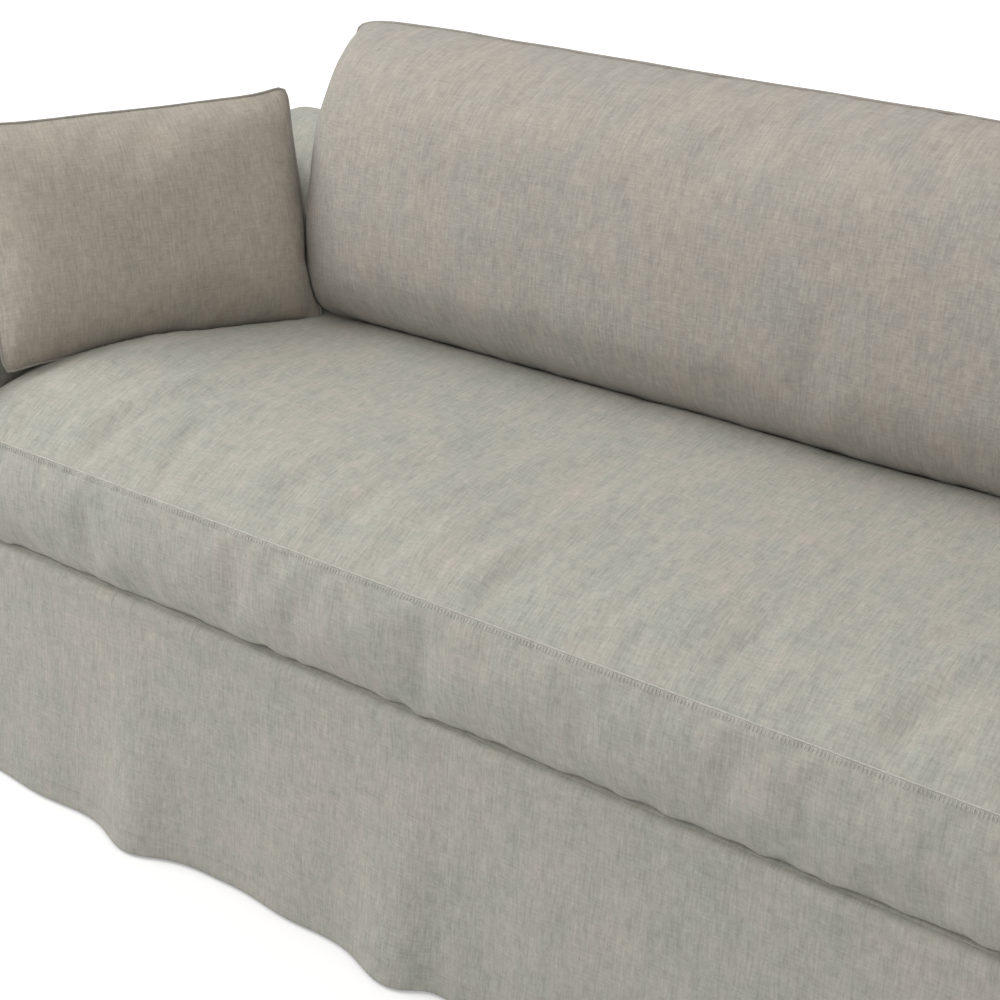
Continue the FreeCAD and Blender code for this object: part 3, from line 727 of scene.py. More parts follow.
def mapped_linen(name, cool, warm):
    return shared(name, linen, tuple(cool), tuple(warm), sizes().thread)


def slip_linen():
    return mapped_linen("slipcover linen", colours().cool, colours().warm)


# The back cushion's linen, darker and warmer than the slipcover's as painted shade
def cushion_linen():
    return mapped_linen("back cushion linen", colours().back_shaded_cool, colours().back_shaded_warm)


# The pillows' linen, darker and warmer than the slipcover's as painted shade
def pillow_linen():
    return mapped_linen("pillow linen", colours().pillow_shaded_cool, colours().pillow_shaded_warm)


def shaded_welt_linen():
    """The back cushion's linen, darker still where it is rolled into a welt: painted shade along
    the seam.
    """
    return shared("welt linen", linen, paler(colours().back_shaded_cool, 0.86),
                  paler(colours().back_shaded_warm, 0.84), sizes().thread, mapped=False)


def serging_thread():
    thread = colours().thread
    return shared("serging thread", linen, tuple(thread), paler(thread, 0.93),
                  sizes().thread / 3, mapped=False, wear=0.4)


# Recesses of the zips
TAPE_HALF = {"seat": 0.0115, "back": 0.0105}  # half of the tape's height
TAPE_OVER = {"seat": 0.0022, "back": 0.0024}  # how far the tape stands over the cover
TAPE_END = 0.004  # how far a recess runs past the tape's ends
RECESS_EASE = 0.008  # width over which a recess ends


def recess(depth, off):
    """How a cover sinks to its zip: by the depth over the tape, and less off beside it."""
    return -max(0.0, depth) * min(1.0, max(0.0, 1 - off / RECESS_EASE))


# Seat cushion

# Shares of the boxing's height at which its rows of points lie
BOXING_ROWS = (0.028, 0.09, 0.2, 0.32, 0.42, 0.49, 0.544, 0.6, 0.67, 0.79, 0.88, 0.94, 0.98, 1.0)
BOXING_SWELL = 0.0035  # at the sides and the rear
SEAT_GAP = 0.0015  # under what rests on the seat
SERGE_DROP = 0.6  # how far the serging's middle lies off its seam, in stitches
SERGE_WIDTH = {"seat": 0.0009, "arm": 0.0008}
SEAM_RADIUS = {"seat": 0.0008, "slipcover": 0.0011}
PINCH = (-0.423, 0.007)  # place and width of a tight spot in the front's lower seam


def seat_limits():
    """Half length, front, rear, underside and seam of the seat cushion."""
    low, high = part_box("seat_cushion_core")
    wrap, lift = 0.022, 0.0003
    return (high[0] + wrap, low[1] - wrap, high[1] + wrap, low[2] - wrap + lift,
            high[2] + wrap / 4)


def seat_spacing(half, front, rear):
    """Places along the seat cushion, and shares of the way from its front to its rear, both
    closer together at the seams."""
    s = sizes()
    corners = [half - s.seat_corner * (1 - math.cos(math.radians(a)))
               for a in (0, 22, 42, 60, 76)]
    xs = [-x for x in corners] + evenly(half - s.seat_corner * 0.95, s.mesh_step) + corners[::-1]
    rows = round((rear - front) / s.mesh_step)
    return xs, [0.35 * (0.5 - 0.5 * math.cos(math.pi * j / rows)) + 0.65 * j / rows
                for j in range(rows + 1)]


def seat_top(x, share, half, front, rear, seam):
    """A point of the seat's top: x along it, share from its front seam to its rear one. The crown
    swells in front of the pillows, dips under them and lifts at the back cushion's foot."""
    s = sizes()
    d = half - abs(x)
    reach = max(0.0, s.seat_corner - d)
    corner = s.seat_corner - math.sqrt(max(0.0, s.seat_corner ** 2 - reach ** 2))
    fall = math.sin(math.pi / 2 * min(1.0, d / s.seat_fall))
    ends = bell(abs(x), 0.79, 0.14)
    rise = s.seat_crown * (0.4 + 0.6 * fall)
    rise += 0.014 * ends * bell(share, 0.32, 0.22)
    rise -= 0.007 * ends * bell(share, 0.8, 0.15)
    heel = 0.007 * bell(share, 0.8, 0.12) * fall * (1 - ends)
    a, b = front + corner, rear - corner
    bend, round_off = (2.4, 0.62) if share < 0.5 else (2.6, 0.72)
    full = max(0.0, 1 - abs(2 * share - 1) ** bend) ** round_off
    return Vector((x, a + (b - a) * share, seam + rise * full + heel * min(1.0, 5 * full)))


def seat_wrinkles(place, front):
    """Soft ridges that run back from the front seam, and small ones over the whole top."""
    into = place.y - front
    across = place.x - 0.3 * into - 0.5 * into * into
    ridge = ripple(across * 17, into * 2.4, 3.1) + 0.7 * ripple(across * 33, into * 4.0, 9.7)
    near = bell(into, 0.1, 0.17)
    near *= 0.75 + 0.6 * ripple(place.x * 2.1, 0.0, 12.4)
    slow = ripple(place.x * 3.2, place.y * 5.5, 1.7)
    small = ripple(place.x * 14, place.y * 17, 6.3)
    return 0.0095 * ridge * near + 0.005 * slow + 0.0014 * small


def boxing_point(place, out, arc, share, low):
    """A point of the boxing, a share of the way down from a place of the seam. The front swells
    and puckers, and its foot is pulled up a little where it is sewn."""
    drop = (place.z - low) * share
    facing = max(-out.y, 0.0) ** 2
    swell = BOXING_SWELL + (sizes().seat_bulge - BOXING_SWELL) * facing
    push = swell * math.sin(math.pi * (0.03 + 0.9 * share)) ** 0.6
    pucker = ripple(arc * 24, share * 2.0, 5.0)
    slant = ripple(arc * 16 + share * 3.2, share * 1.5, 8.0)
    push += facing * math.sin(math.pi * share) * (0.0018 * pucker + 0.0042 * slant * share ** 2)
    tuck = 0.009 * max(0.0, (share - 0.9) / 0.1) ** 1.5
    wave = 0.5 + ripple(arc * 9, 0.0, 15.0)
    wave += 0.6 * ripple(arc * 27, 0.0, 18.0)
    pinch = bell(place.x, *PINCH)
    drop -= facing * (0.003 * max(0.0, wave) + 0.006 * pinch) * share ** 6
    push -= 0.006 * facing * pinch * share ** 8
    return place.x + out.x * (push - tuck), place.y + out.y * (push - tuck), place.z - drop


def seat_relief(front):
    """Fine ridges behind the seat's front seam, slanting puckers at the foot of the boxing, and
    the recess in which the zip lies."""
    zip_low, zip_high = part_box("seat_cushion_zip")
    middle = (zip_low.z + zip_high.z) / 2

    def relief(place, out):
        if out.y > 0.6:
            off = max(abs(place.z - middle) - TAPE_HALF["seat"],
                      (abs(place.x) - zip_high.x - TAPE_END) * 2)
            return recess(place.y - (zip_high.y - TAPE_OVER["seat"]), off)
        into = place.y - front
        if out.z > 0.25 and into < 0.45:
            across = place.x - 0.35 * into - 0.6 * into * into
            ridge = ripple(across * 30, into * 3.0, 21.0)
            ridge += 0.5 * ripple(across * 62, into * 6.0, 23.0)
            patch = max(0.0, 0.4 + 1.5 * ripple(place.x * 2.3, into * 2.0, 25.0))
            return 0.0042 * ridge * bell(into, 0.09, 0.15) * patch
        if out.y < -0.5:
            low = max(0.0, 1 - (place.z - DECK) / 0.075)
            slant = ripple((place.x + place.z * 0.7) * 42, place.z * 9, 27.0)
            return 0.0034 * slant * low ** 1.5
        return 0.0

    return relief


def seat_cover():
    """The panels of the seat cushion's cover, its seam round the top, and the seam's directions
    out of the cushion."""
    half, front, rear, low, seam = seat_limits()
    xs, shares = seat_spacing(half, front, rear)
    cover = Panels()
    top = []
    for x in xs:
        places = [seat_top(x, share, half, front, rear, seam) for share in shares]
        for place, share in list(zip(places, shares))[1:-1]:
            edge = min(min(share, 1 - share) * (rear - front), max(0.0, half - abs(x)))
            place.z += seat_wrinkles(place, front) * min(1.0, edge / 0.03)
        top.append(cover.row(places))
    centre = (0, (front + rear) / 2, (low + seam) / 2)
    cover.panel(top, lambda r, c: cover.points[top[r][c]].xy[:], centre)
    loop = rim_of(top)
    rim = [cover.points[i] for i in loop]
    outs = [Vector((run.y, -run.x, 0)).normalized() for run in runs_of(rim, True)]
    arc = along(rim + rim[:1])
    belts = [loop]
    for share in BOXING_ROWS:
        belts.append(cover.row(boxing_point(*spot, share, low) for spot in zip(rim, outs, arc)))
    closed = [belt + belt[:1] for belt in belts]
    cover.panel(closed, lambda r, c: (arc[c], cover.points[closed[r][c]].z), centre)
    foot = dict(zip(loop, belts[-1]))
    under = [[foot[n] if n in foot else cover.point((*cover.points[n].xy, low)) for n in line]
             for line in top]
    cover.panel(under, lambda r, c: cover.points[under[r][c]].xy[:], centre)
    swollen(cover, set(loop).union(*under), 0.012, 0.007)
    loose = [made[name].tree() for name in ("back_cushion", "left_pillow", "right_pillow")]
    inner = [i for line in top[1:-1] for i in line[1:-1]]
    for _ in range(2):
        moved = dented(cover, inner, loose, SEAT_GAP)
        eased(cover, set(range(len(cover.points))) - moved)
    dented(cover, inner, loose, SEAT_GAP)
    return cover, loop, outs


class SOFA_OT_seat_cushion(bpy.types.Operator):
    """Boxed bench cushion with a crowned top and a serged seam"""

    bl_idname = "sofa.seat_cushion"
    bl_label = "Seat cushion"

    def execute(self, context):
        s = sizes()
        cover, loop, outs = seat_cover()
        piece = dressed("seat_cushion_linen", cover, "seat_cushion", slip_linen(),
                        relief=seat_relief(seat_limits()[1]))
        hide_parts("seat_cushion_cover")
        rim = [cover.points[i] for i in loop]
        line, _ = laid_on(piece, rim, 0.0001)
        welted("seat_seam_thread", "seat_cushion", line, True, SEAM_RADIUS["seat"],
               serging_thread(), 0.006)
        below = [p + o * 0.002 - Vector((0, 0, s.serge_length * SERGE_DROP))
                 for p, o in zip(rim, outs)]
        ticks, faces = laid_on(piece, below, 0.0004)
        stitched("seat_serging", "seat_cushion", ticks, True, faces, [DOWN] * len(rim),
                 s.serge_pitch, s.serge_length, SERGE_WIDTH["seat"], serging_thread())
        return {"FINISHED"}


# Knife-edged cushions

# Fuller spots in the back cushion's top seam: place, rise and width
TOP_SPOTS = ((-0.655, 0.011, 0.03), (0.21, 0.006, 0.05), (0.63, 0.01, 0.035))
TOP_SPOT_DEPTH = 0.02
ZIP_SLOPE = 0.87  # of the back cushion's rear at its zip
BED_HALF, BED_END, BED_EASE = 0.012, 0.008, 0.02  # where the rear gives way for the zip
BACK_ROWS = 30  # of points, up the back cushion
CUSHION_GAP = 0.0015  # between a cushion and what it leans on
PILLOW_GAP = 0.001


def edge_spacing(count, tight):
    """Shares from -1 to 1, closer together at both ends."""
    found = []
    for i in range(count + 1):
        a = 2 * i / count - 1
        found.append((1 - tight) * a + tight * math.sin(math.pi / 2 * a))
    return found


def knife_edged(long, tall, thick, shape, wrinkle, step, rows_in=None, lead=lambda t: 0.0):
    """A stuffed cover of two panels sewn all round. shape gives the edge's place and the fullness,
    lead how far a height stands off the middle plane."""
    cover = Panels()
    columns = edge_spacing(round(long / step), 0.55)
    rows = edge_spacing(rows_in or round(tall / step), 0.6)
    faces = {}
    for side in (-1, 1):
        faces[side] = []
        for i, s in enumerate(columns):
            line = []
            for j, t in enumerate(rows):
                border = i in (0, len(columns) - 1) or j in (0, len(rows) - 1)
                if border and side > 0:
                    line.append(faces[-1][i][j])
                    continue
                x, z, full = shape(s, t)
                y = lead(t) + (0.0 if border else side * thick / 2 * full)
                place = Vector((x * long / 2, y, z * tall / 2))
                if not border:
                    place.y += side * wrinkle(place, s, t, side)
                line.append(cover.point(place))
            faces[side].append(line)
        cover.panel(faces[side], lambda r, c: (columns[r] * long / 2 + side, rows[c] * tall / 2),
                    (0, 0, 0))
    return cover, rim_of(faces[-1])


def back_shape(s, t):
    """Edge and fullness of the back cushion: nearly square ends, full up to the seams."""
    pull = 1.006 - 0.028 * t * t
    full = max(0.0, 1 - abs(s) ** 10) ** 0.62 * max(0.0, 1 - abs(t) ** 2.7) ** 0.58
    fall = 1 - 0.06 * abs(s) ** 30
    if t > 0:
        fall += 0.01 * ripple(s * 7, 0.0, 3.3) * t ** 4
    return s * pull, t * fall, full


def back_lead(t):
    """The back cushion sits down on its bottom seam, which comes forward."""
    sunk = max(0.0, (-t - 0.2) / 0.8)
    return -0.036 * sunk ** 2


def back_wrinkle(place, s, t, side):
    edge = 1 - max(abs(s) ** 9, abs(t))
    near = math.exp(-(edge / 0.16) ** 2) * min(1.0, edge / 0.04)
    pucker = ripple(place.x * 38, place.z * 7, 2.0 + side)
    slow = ripple(place.x * 4.2, place.z * 6.5, 4.0 + side)
    small = ripple(place.x * 12, place.z * 16, 7.0 + side)
    return 0.0016 * pucker * near + (0.005 * slow + 0.0014 * small) * min(1.0, edge / 0.2)


def pillow_shape(s, t):
    """Edge and fullness of a throw pillow, with its edges drawn in between the corners."""
    full = max(0.0, 1 - abs(s) ** 3.6) ** 0.58 * max(0.0, 1 - abs(t) ** 2.6) ** 0.62
    x = s * (1 - 0.026 * (1 - t ** 4)) * (1 - 0.03 * abs(t) ** 18)
    z = t * (0.93 + 0.07 * s ** 8) * (1 - 0.034 * abs(s) ** 26)
    z += 0.012 * ripple(s * 2.3, t, 1.9) * (1 - abs(s) ** 8) * t * t
    return x, z, full


def pillow_wrinkle(place, s, t, side):
    edge = 1 - max(abs(s), abs(t))
    near = math.exp(-(edge / 0.22) ** 2) * min(1.0, edge / 0.05)
    corner = (abs(s) * abs(t)) ** 2
    pucker = ripple(place.x * 34, place.z * 34, 2.0 + side)
    slow = ripple(place.x * 8, place.z * 9, 5.0 + side)
    return 0.0018 * pucker * near * (0.5 + corner) + 0.006 * slow * min(1.0, edge / 0.2)


def set_in_place(cover, turn, lean, place):
    matrix = Matrix.Rotation(turn, 3, "Z") @ Matrix.Rotation(-lean, 3, "X")
    cover.points = [matrix @ p + place for p in cover.points]


def zip_bed(cover, middle, unlean):
    """Sinks the back cushion's rear to its zip, and gives its relief: puckers along both long
    seams and the recess of the zip. middle and unlean lead back to the upright cushion."""
    low, high = (unlean @ (Vector(place) - middle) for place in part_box("back_cushion_zip"))
    zip_y, zip_z, zip_reach = (low.y + high.y) / 2, (low.z + high.z) / 2, high.x
    zip_face = math.cos(math.atan(ZIP_SLOPE))
    foot = middle.z - sizes().back_height / 2
    for place in cover.points:
        off = max(abs(place.z - zip_z) - BED_HALF, abs(place.x) - zip_reach - BED_END)
        tape = zip_y + (place.z - zip_z) * ZIP_SLOPE
        if place.y > tape and off < BED_EASE:
            place.y += (tape - place.y) * min(1.0, 1 - off / BED_EASE)

    def relief(place, out):
        local = unlean @ (place - middle)
        off = max(abs(local.z - zip_z) - TAPE_HALF["back"],
                  abs(local.x) - zip_reach - TAPE_END)
        if local.y > 0 and off < RECESS_EASE:
            depth = (local.y - zip_y - (local.z - zip_z) * ZIP_SLOPE) * zip_face
            return recess(depth + TAPE_OVER["back"], off)
        edges = bell(place.z, foot, 0.05) + 0.6 * bell(place.z - foot, 0.36, 0.05)
        pucker = ripple(place.x * 40, place.z * 8, 31.0)
        slant = ripple((place.x + place.z) * 20, place.z * 14, 33.0)
        return 0.0026 * pucker * edges + 0.0014 * slant

    return relief


def stuffed(body, cover, loop, material, relief=None):
    """The finished cover of a knife-edged cushion, and the welt in its seam."""
    made[body] = cover
    piece = dressed(body + "_linen", cover, body, material, sewn=loop, relief=relief)
    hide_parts(body + "_cover")
    # Every welt takes the back cushion's linen darkened again, as painted shade along the seam
    welted(body + "_welt", body, [cover.points[i] for i in loop], True, sizes().welt / 2,
           shaded_welt_linen(), sides=8)


class SOFA_OT_back_cushion(bpy.types.Operator):
    """Long knife-edged cushion with a self-welt, leaning on the back"""

    bl_idname = "sofa.back_cushion"
    bl_label = "Back cushion"

    def execute(self, context):
        s = sizes()
        cover, loop = knife_edged(s.back_length, s.back_height, s.back_thickness, back_shape,
                                  back_wrinkle, s.mesh_step, BACK_ROWS, back_lead)
        seam = set(loop)
        top = s.back_height / 2 * 0.95
        for i, place in enumerate(cover.points):
            if i in seam or place.y < 0:
                continue
            for middle, rise, width in TOP_SPOTS:
                off = ((place.x - middle) / width) ** 2 + ((place.z - top) / TOP_SPOT_DEPTH) ** 2
                place.z += rise * math.exp(-off)
        swollen(cover, loop, 0.012, 0.006)
        middle = mid_of("back_cushion_cover")
        relief = zip_bed(cover, middle, Matrix.Rotation(s.back_lean, 3, "X"))
        set_in_place(cover, 0.0, s.back_lean, middle)
        pressed(cover, loop, [made["back"].tree()], CUSHION_GAP)
        stuffed("back_cushion", cover, loop, cushion_linen(), relief)
        return {"FINISHED"}


class SOFA_OT_pillows(bpy.types.Operator):
    """A small oblong throw pillow in each corner"""

    bl_idname = "sofa.pillows"
    bl_label = "Throw pillows"

    def execute(self, context):
        s = sizes()
        for side_name, side in SIDES.items():
            cover, loop = knife_edged(s.pillow_length, s.pillow_height, s.pillow_thickness,
                                      pillow_shape, pillow_wrinkle, s.mesh_step * 0.75)
            swollen(cover, loop, 0.014, 0.007)
            turn = -side * (math.pi / 2 - s.pillow_turn)
            set_in_place(cover, turn, s.pillow_lean, mid_of(side_name + "_pillow_cover"))
            around = [made["back_cushion"].tree(), made[side_name + "_arm"].tree()]
            pressed(cover, loop, around, PILLOW_GAP)
            stuffed(side_name + "_pillow", cover, loop, pillow_linen())
        return {"FINISHED"}


# Slipcover on the arms and back

BACK_LEAN = math.tan(math.radians(8))  # of the back's inside
ARM_RISE = math.tan(math.radians(7))  # of the arms' tops towards the back
ARM_FRONT_HEIGHT = 0.572
BACK_TOP = 0.668
BACK_DEPTHS = (0.22, 0.176)  # at the deck and at the round top
END_RADIUS = 0.055  # of the back's upper corners
ARM_STEP, BACK_STEP = 0.016, 0.018  # how far apart the covers' rows lie
OUTLINE_STEPS = 14  # in each straight and round part of the covers' outlines
ARM_BOW = 0.0022  # of the arms' front panels


def back_inner_at(z):
    return REAR - BACK_DEPTHS[0] + (z - DECK) * BACK_LEAN


def arm_end_at(z):
    """How far back an arm's cover runs at a height: just into the back, also over its round top."""
    round_half = BACK_DEPTHS[1] / 2
    above = max(0.0, z - BACK_TOP + round_half)
    fall = round_half - math.sqrt(max(0.0, round_half ** 2 - above ** 2))
    return back_inner_at(z - above) + fall + 0.002 + 0.005 * min(1.0, above / 0.02)


def arm_outline(half, crest, low, count):
    """Points up the outside of an arm, over its round top and down its inside, as (across,
    height)."""
    shoulder = crest - half
    sides = [(half, low + (shoulder - low) * i / count) for i in range(count)]
    round_top = [(half * math.cos(math.pi * i / count),
                  shoulder + half * math.sin(math.pi * i / count)) for i in range(count + 1)]
    return sides + round_top + [(-a, b) for a, b in sides[::-1]]


def arm_stations(half, depth):
    """Shares of the arm's depth at which its rows lie, and how far each lies inside the arm's
    outline, where the front edge is rounded."""
    edge = half / 4
    stations = [(0.0, edge / 2), (edge / 8 / depth, edge / 4), (edge / 2.5 / depth, edge / 10),
                (edge / depth, 0.0)]
    first = edge / depth
    steps = round(depth / ARM_STEP)
    return stations + [(first + (1 - first) * k / steps, 0.0) for k in range(1, steps + 1)]


def arm_row(side, middle, half, share, narrow):
    """A row of points over an arm."""
    front, low = ARM_FRONT, DECK
    y_crest = front + share * (back_inner_at(low) - front)
    crest = ARM_FRONT_HEIGHT + (y_crest - front) * ARM_RISE - narrow
    row = []
    for across, z in arm_outline(half - narrow, crest, low, OUTLINE_STEPS):
        y = front + share * (arm_end_at(z) - front)
        crest_here = ARM_FRONT_HEIGHT + (y - front) * ARM_RISE - narrow
        z = low + (z - low) * (crest_here - low) / (crest - low)
        soft = ripple(y * 7, z * 6, across * 9 + side)
        small = ripple(y * 22, z * 19, across * 22 + side)
        deep = (min(1.0, (z - low) / 0.05) * min(1.0, share * 12)
                * min(1.0, (1 - share) * 12))
        out = Vector((side * across, 0, max(0.0, z - (crest - half)))).normalized()
        row.append(Vector((side * (middle + across), y, z))
                   + out * (0.0016 * soft + 0.0007 * small) * deep)
    return row


class SOFA_OT_arm_covers(bpy.types.Operator):
    """Slipcover over the two padded arms"""

    bl_idname = "sofa.arm_covers"
    bl_label = "Arm covers"

    def execute(self, context):
        s = sizes()
        middle, half = (ARM_INNER + ARM_OUTER) / 2, (ARM_OUTER - ARM_INNER) / 2
        depth = back_inner_at(DECK) - ARM_FRONT
        shoulder = ARM_FRONT_HEIGHT - half
        for side_name, side in SIDES.items():
            def spine_of(place):
                return Vector((side * middle, place.y, min(place.z, shoulder)))

            cover = Panels()
            rows = [cover.row(arm_row(side, middle, half, share, narrow))
                    for share, narrow in arm_stations(half, depth)]
            girth = along([cover.points[i] for i in rows[-1]])
            centre = (side * middle, ARM_FRONT + depth / 2, DECK)
            cover.panel(rows, lambda r, c: (cover.points[rows[r][c]].y, girth[c]), centre)
            cover.cap(rows[0], spine_of, centre, (0, 2), ARM_BOW)
            made[side_name + "_arm"] = cover
            piece = dressed(side_name + "_arm_linen", cover, "sofa_frame", slip_linen(),
                            thickness=s.cloth)
            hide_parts(side_name + "_arm_cover")
            depth + half
            rim = [cover.points[i] for i in rows[0]]
            welted(side_name + "_arm_seam", "sofa_frame", [p + FRONTWARD * 0.0004 for p in rim],
                   False, SEAM_RADIUS["slipcover"], serging_thread())
            inwards = [(spine_of(p) - p).normalized() for p in rim]
            ticks = [p + d * s.serge_length * SERGE_DROP + FRONTWARD * 0.0012
                     for p, d in zip(rim, inwards)]
            stitched(side_name + "_arm_serging", "sofa_frame", ticks, False,
                     [FRONTWARD] * len(rim), inwards, s.serge_pitch, s.serge_length,
                     SERGE_WIDTH["arm"], serging_thread())
        return {"FINISHED"}


def back_outline(low, shoulder, round_half, count):
    """Points up the back's inside, over its round top and down its rear, as (depth, height)."""
    inner = back_inner_at(shoulder)
    outer = inner + 2 * round_half
    heights = [low + (shoulder - low) * i / count for i in range(count)]
    turns = [math.pi * i / count for i in range(count + 1)]
    down = [shoulder + (low - shoulder) * i / count for i in range(1, count + 1)]
    return ([(back_inner_at(z), z) for z in heights]
            + [(inner + round_half - round_half * math.cos(a),
                shoulder + round_half * math.sin(a)) for a in turns]
            + [(outer + (REAR - outer) * (shoulder - z) / (shoulder - low), z) for z in down])


class SOFA_OT_back_cover(bpy.types.Operator):
    """Slipcover over the padded back"""

    bl_idname = "sofa.back_cover"
    bl_label = "Back cover"

    def execute(self, context):
        low_box, high_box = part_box("back_cover")
        half, low = high_box[0], low_box[2]
        radius = END_RADIUS
        round_half = BACK_DEPTHS[1] / 2
        shoulder = BACK_TOP - round_half
        middle = back_inner_at(shoulder) + round_half
        outline = back_outline(low, shoulder, round_half, OUTLINE_STEPS)
        inside = half - radius
        ends = [inside + radius * math.sin(math.radians(a)) for a in (90, 72, 54, 36, 18)]
        xs = [-x for x in ends] + evenly(inside, BACK_STEP) + ends[::-1]
        cover = Panels()
        rows = []
        for x in xs:
            over = max(0.0, abs(x) - inside)
            top = BACK_TOP - radius + math.sqrt(max(0.0, radius ** 2 - over ** 2))
            narrow = 0.001 * (1 - min(1.0, (half - abs(x)) / 0.012))
            row = []
            for y, z in outline:
                z = min(z, top)
                soft = ripple(x * 4, y * 5, z * 5 + 11)
                small = ripple(x * 15, y * 17, z * 15 + 3)
                deep = min(1.0, (z - low) / 0.05) * min(1.0, (half - abs(x)) / 0.04)
                out = Vector((0, y - middle, max(0.0, z - shoulder))).normalized()
                row.append(Vector((x, y + (narrow if y < middle else -narrow), z))
                           + out * (0.002 * soft + 0.0007 * small - 0.0006) * deep)
            rows.append(cover.row(row))
        girth = along([Vector(spot) for spot in outline])
        centre = (0, middle, low)
        cover.panel(rows, lambda r, c: (xs[r], girth[c]), centre)
        end_rims = {"left": rows[0], "right": rows[-1]}
        for rim in end_rims.values():
            cover.cap(rim, lambda place: Vector((place.x, middle + 0.01,
                                                 min(place.z, shoulder - radius))),
                      centre, (1, 2))
        made["back"] = cover
        piece = dressed("back_linen", cover, "sofa_frame", slip_linen(), thickness=sizes().cloth)
        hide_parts("back_cover")
        for name, rim in end_rims.items():
            welted(name + "_back_seam", "sofa_frame", [cover.points[i] for i in rim], False,
                   SEAM_RADIUS["slipcover"], serging_thread())
        return {"FINISHED"}


# Skirt

# Folds out of the skirt at the hem: place from the panel's middle, reach and half width, in metres
FOLDS = {
    "front": ((-0.97, 0.014, 0.04), (-0.8, 0.008, 0.05), (-0.625, 0.026, 0.035),
              (-0.395, 0.0075, 0.037), (-0.236, 0.028, 0.04), (-0.188, -0.008, 0.013),
              (-0.04, 0.006, 0.05),
              (0.15, 0.019, 0.04), (0.34, 0.008, 0.045), (0.52, 0.023, 0.038),
              (0.73, 0.009, 0.05), (0.92, 0.019, 0.04)),
    "rear": ((-0.9, 0.016, 0.045), (-0.66, 0.008, 0.05), (-0.42, 0.02, 0.04),
             (-0.2, 0.01, 0.05), (0.04, 0.022, 0.04), (0.3, 0.008, 0.045),
             (0.5, 0.018, 0.04), (0.74, 0.01, 0.05), (0.95, 0.018, 0.04)),
    "right": ((-0.36, 0.016, 0.04), (-0.16, 0.007, 0.045), (0.03, 0.02, 0.038),
              (0.22, 0.008, 0.045), (0.38, 0.015, 0.04)),
    "left": ((-0.37, 0.014, 0.04), (-0.2, 0.018, 0.038), (0.0, 0.007, 0.05),
             (0.17, 0.019, 0.04), (0.36, 0.01, 0.045)),
}
FLARES = {"side": 0.03, "front": 0.04, "rear": 0.036}
KNEE_DROP = 0.026  # from the deck to where the skirt hangs free
KNEE_OUT = 0.004  # how far the skirt stands out there
HEM = 0.004  # over the floor
SKIRT_STEP = 0.012  # how far apart a skirt's columns of points lie
HEM_STITCH = (0.0042, 0.0032, 0.0006)  # pitch, length and width
SKIRT_LEVELS = [-1.0, -0.5, 0.0, 0.3, 0.6, 1.0] + [1 + i / 22 for i in range(1, 23)]
# At the front skirt's top levels: how far it lies inwards, and its share of the roll
ROLL = {-1.0: (0.013, -0.1), -0.5: (0.008, 0.75), 0.0: (0.0, 1.0), 0.3: (0.0, 0.8),
        0.6: (0.0, 0.4)}
# Panels in order: the corners at their ends and their direction out of the sofa
SKIRTS = {"front": ((-1, -1), (1, -1), (0, -1, 0)), "right": ((1, -1), (1, 1), (1, 0, 0)),
          "rear": ((1, 1), (-1, 1), (0, 1, 0)), "left": ((-1, 1), (-1, -1), (-1, 0, 0))}


def skirt_corner(side_x, side_y, z, deck, tuck):
    """Where two skirt panels meet at a height."""
    flare = FLARES["front"] if side_y < 0 else FLARES["rear"]
    drop = deck - z
    knee_share = KNEE_DROP / (deck - HEM)
    if drop <= KNEE_DROP:
        share = math.sin(math.pi / 2 * drop / KNEE_DROP)
        outs = [(f * knee_share + KNEE_OUT) * share for f in (FLARES["side"], flare)]
    else:
        share = (drop - KNEE_DROP) / (deck - HEM - KNEE_DROP)
        outs = []
        for f in (FLARES["side"], flare):
            knee, hem = f * knee_share + KNEE_OUT, f - tuck
            outs.append(knee + (hem - knee) * share)
    edge = ARM_FRONT if side_y < 0 else REAR
    return Vector((side_x * (ARM_OUTER + outs[0]), edge + side_y * outs[1], z))


def fold_at(name, place):
    """How far the hem swings out at a place from the panel's middle."""
    return sum(reach * math.exp(-0.5 * ((place - middle) / width) ** 2)
               for middle, reach, width in FOLDS[name])


def skirt_spot(name, number, span, share, level, drop, fall, out):
    """How a point of a skirt panel stands off the straight panel: share of its length, and fall
    as a share of the free height."""
    ends = min(1.0, min(share, 1 - share) * span / 0.05)
    x = (share - 0.5) * span
    if out.y > 0 or out.x < 0:
        x = -x
    swing = fold_at(name, x) * fall ** 1.8 * ends
    fine = ripple(x * 9, drop * 1.6, 20 + number)
    small = ripple(x * 24, drop * 7, 30 + number)
    pull = max(0.0, ripple(x * 19, 0, 40 + number)) ** 2
    swing += 0.003 * fine * (0.25 + fall) * min(1.0, drop / 0.05) * ends
    swing += 0.0009 * small * min(1.0, drop / 0.03) * ends
    swing -= 0.012 * pull * math.exp(-drop / 0.05) * min(1.0, drop / 0.01) * ends
    shift = out * swing
    if name == "front" and level in ROLL:
        inwards, turned = ROLL[level]
        roll = sizes().skirt_roll * (1 + 0.16 * small) * ends
        shift += Vector((0, inwards - 0.0035 * ends, roll * turned))
    elif name != "front" and level < 0:
        shift += Vector((0, 0, -0.001)) + out * 0.0015 * level
    return shift


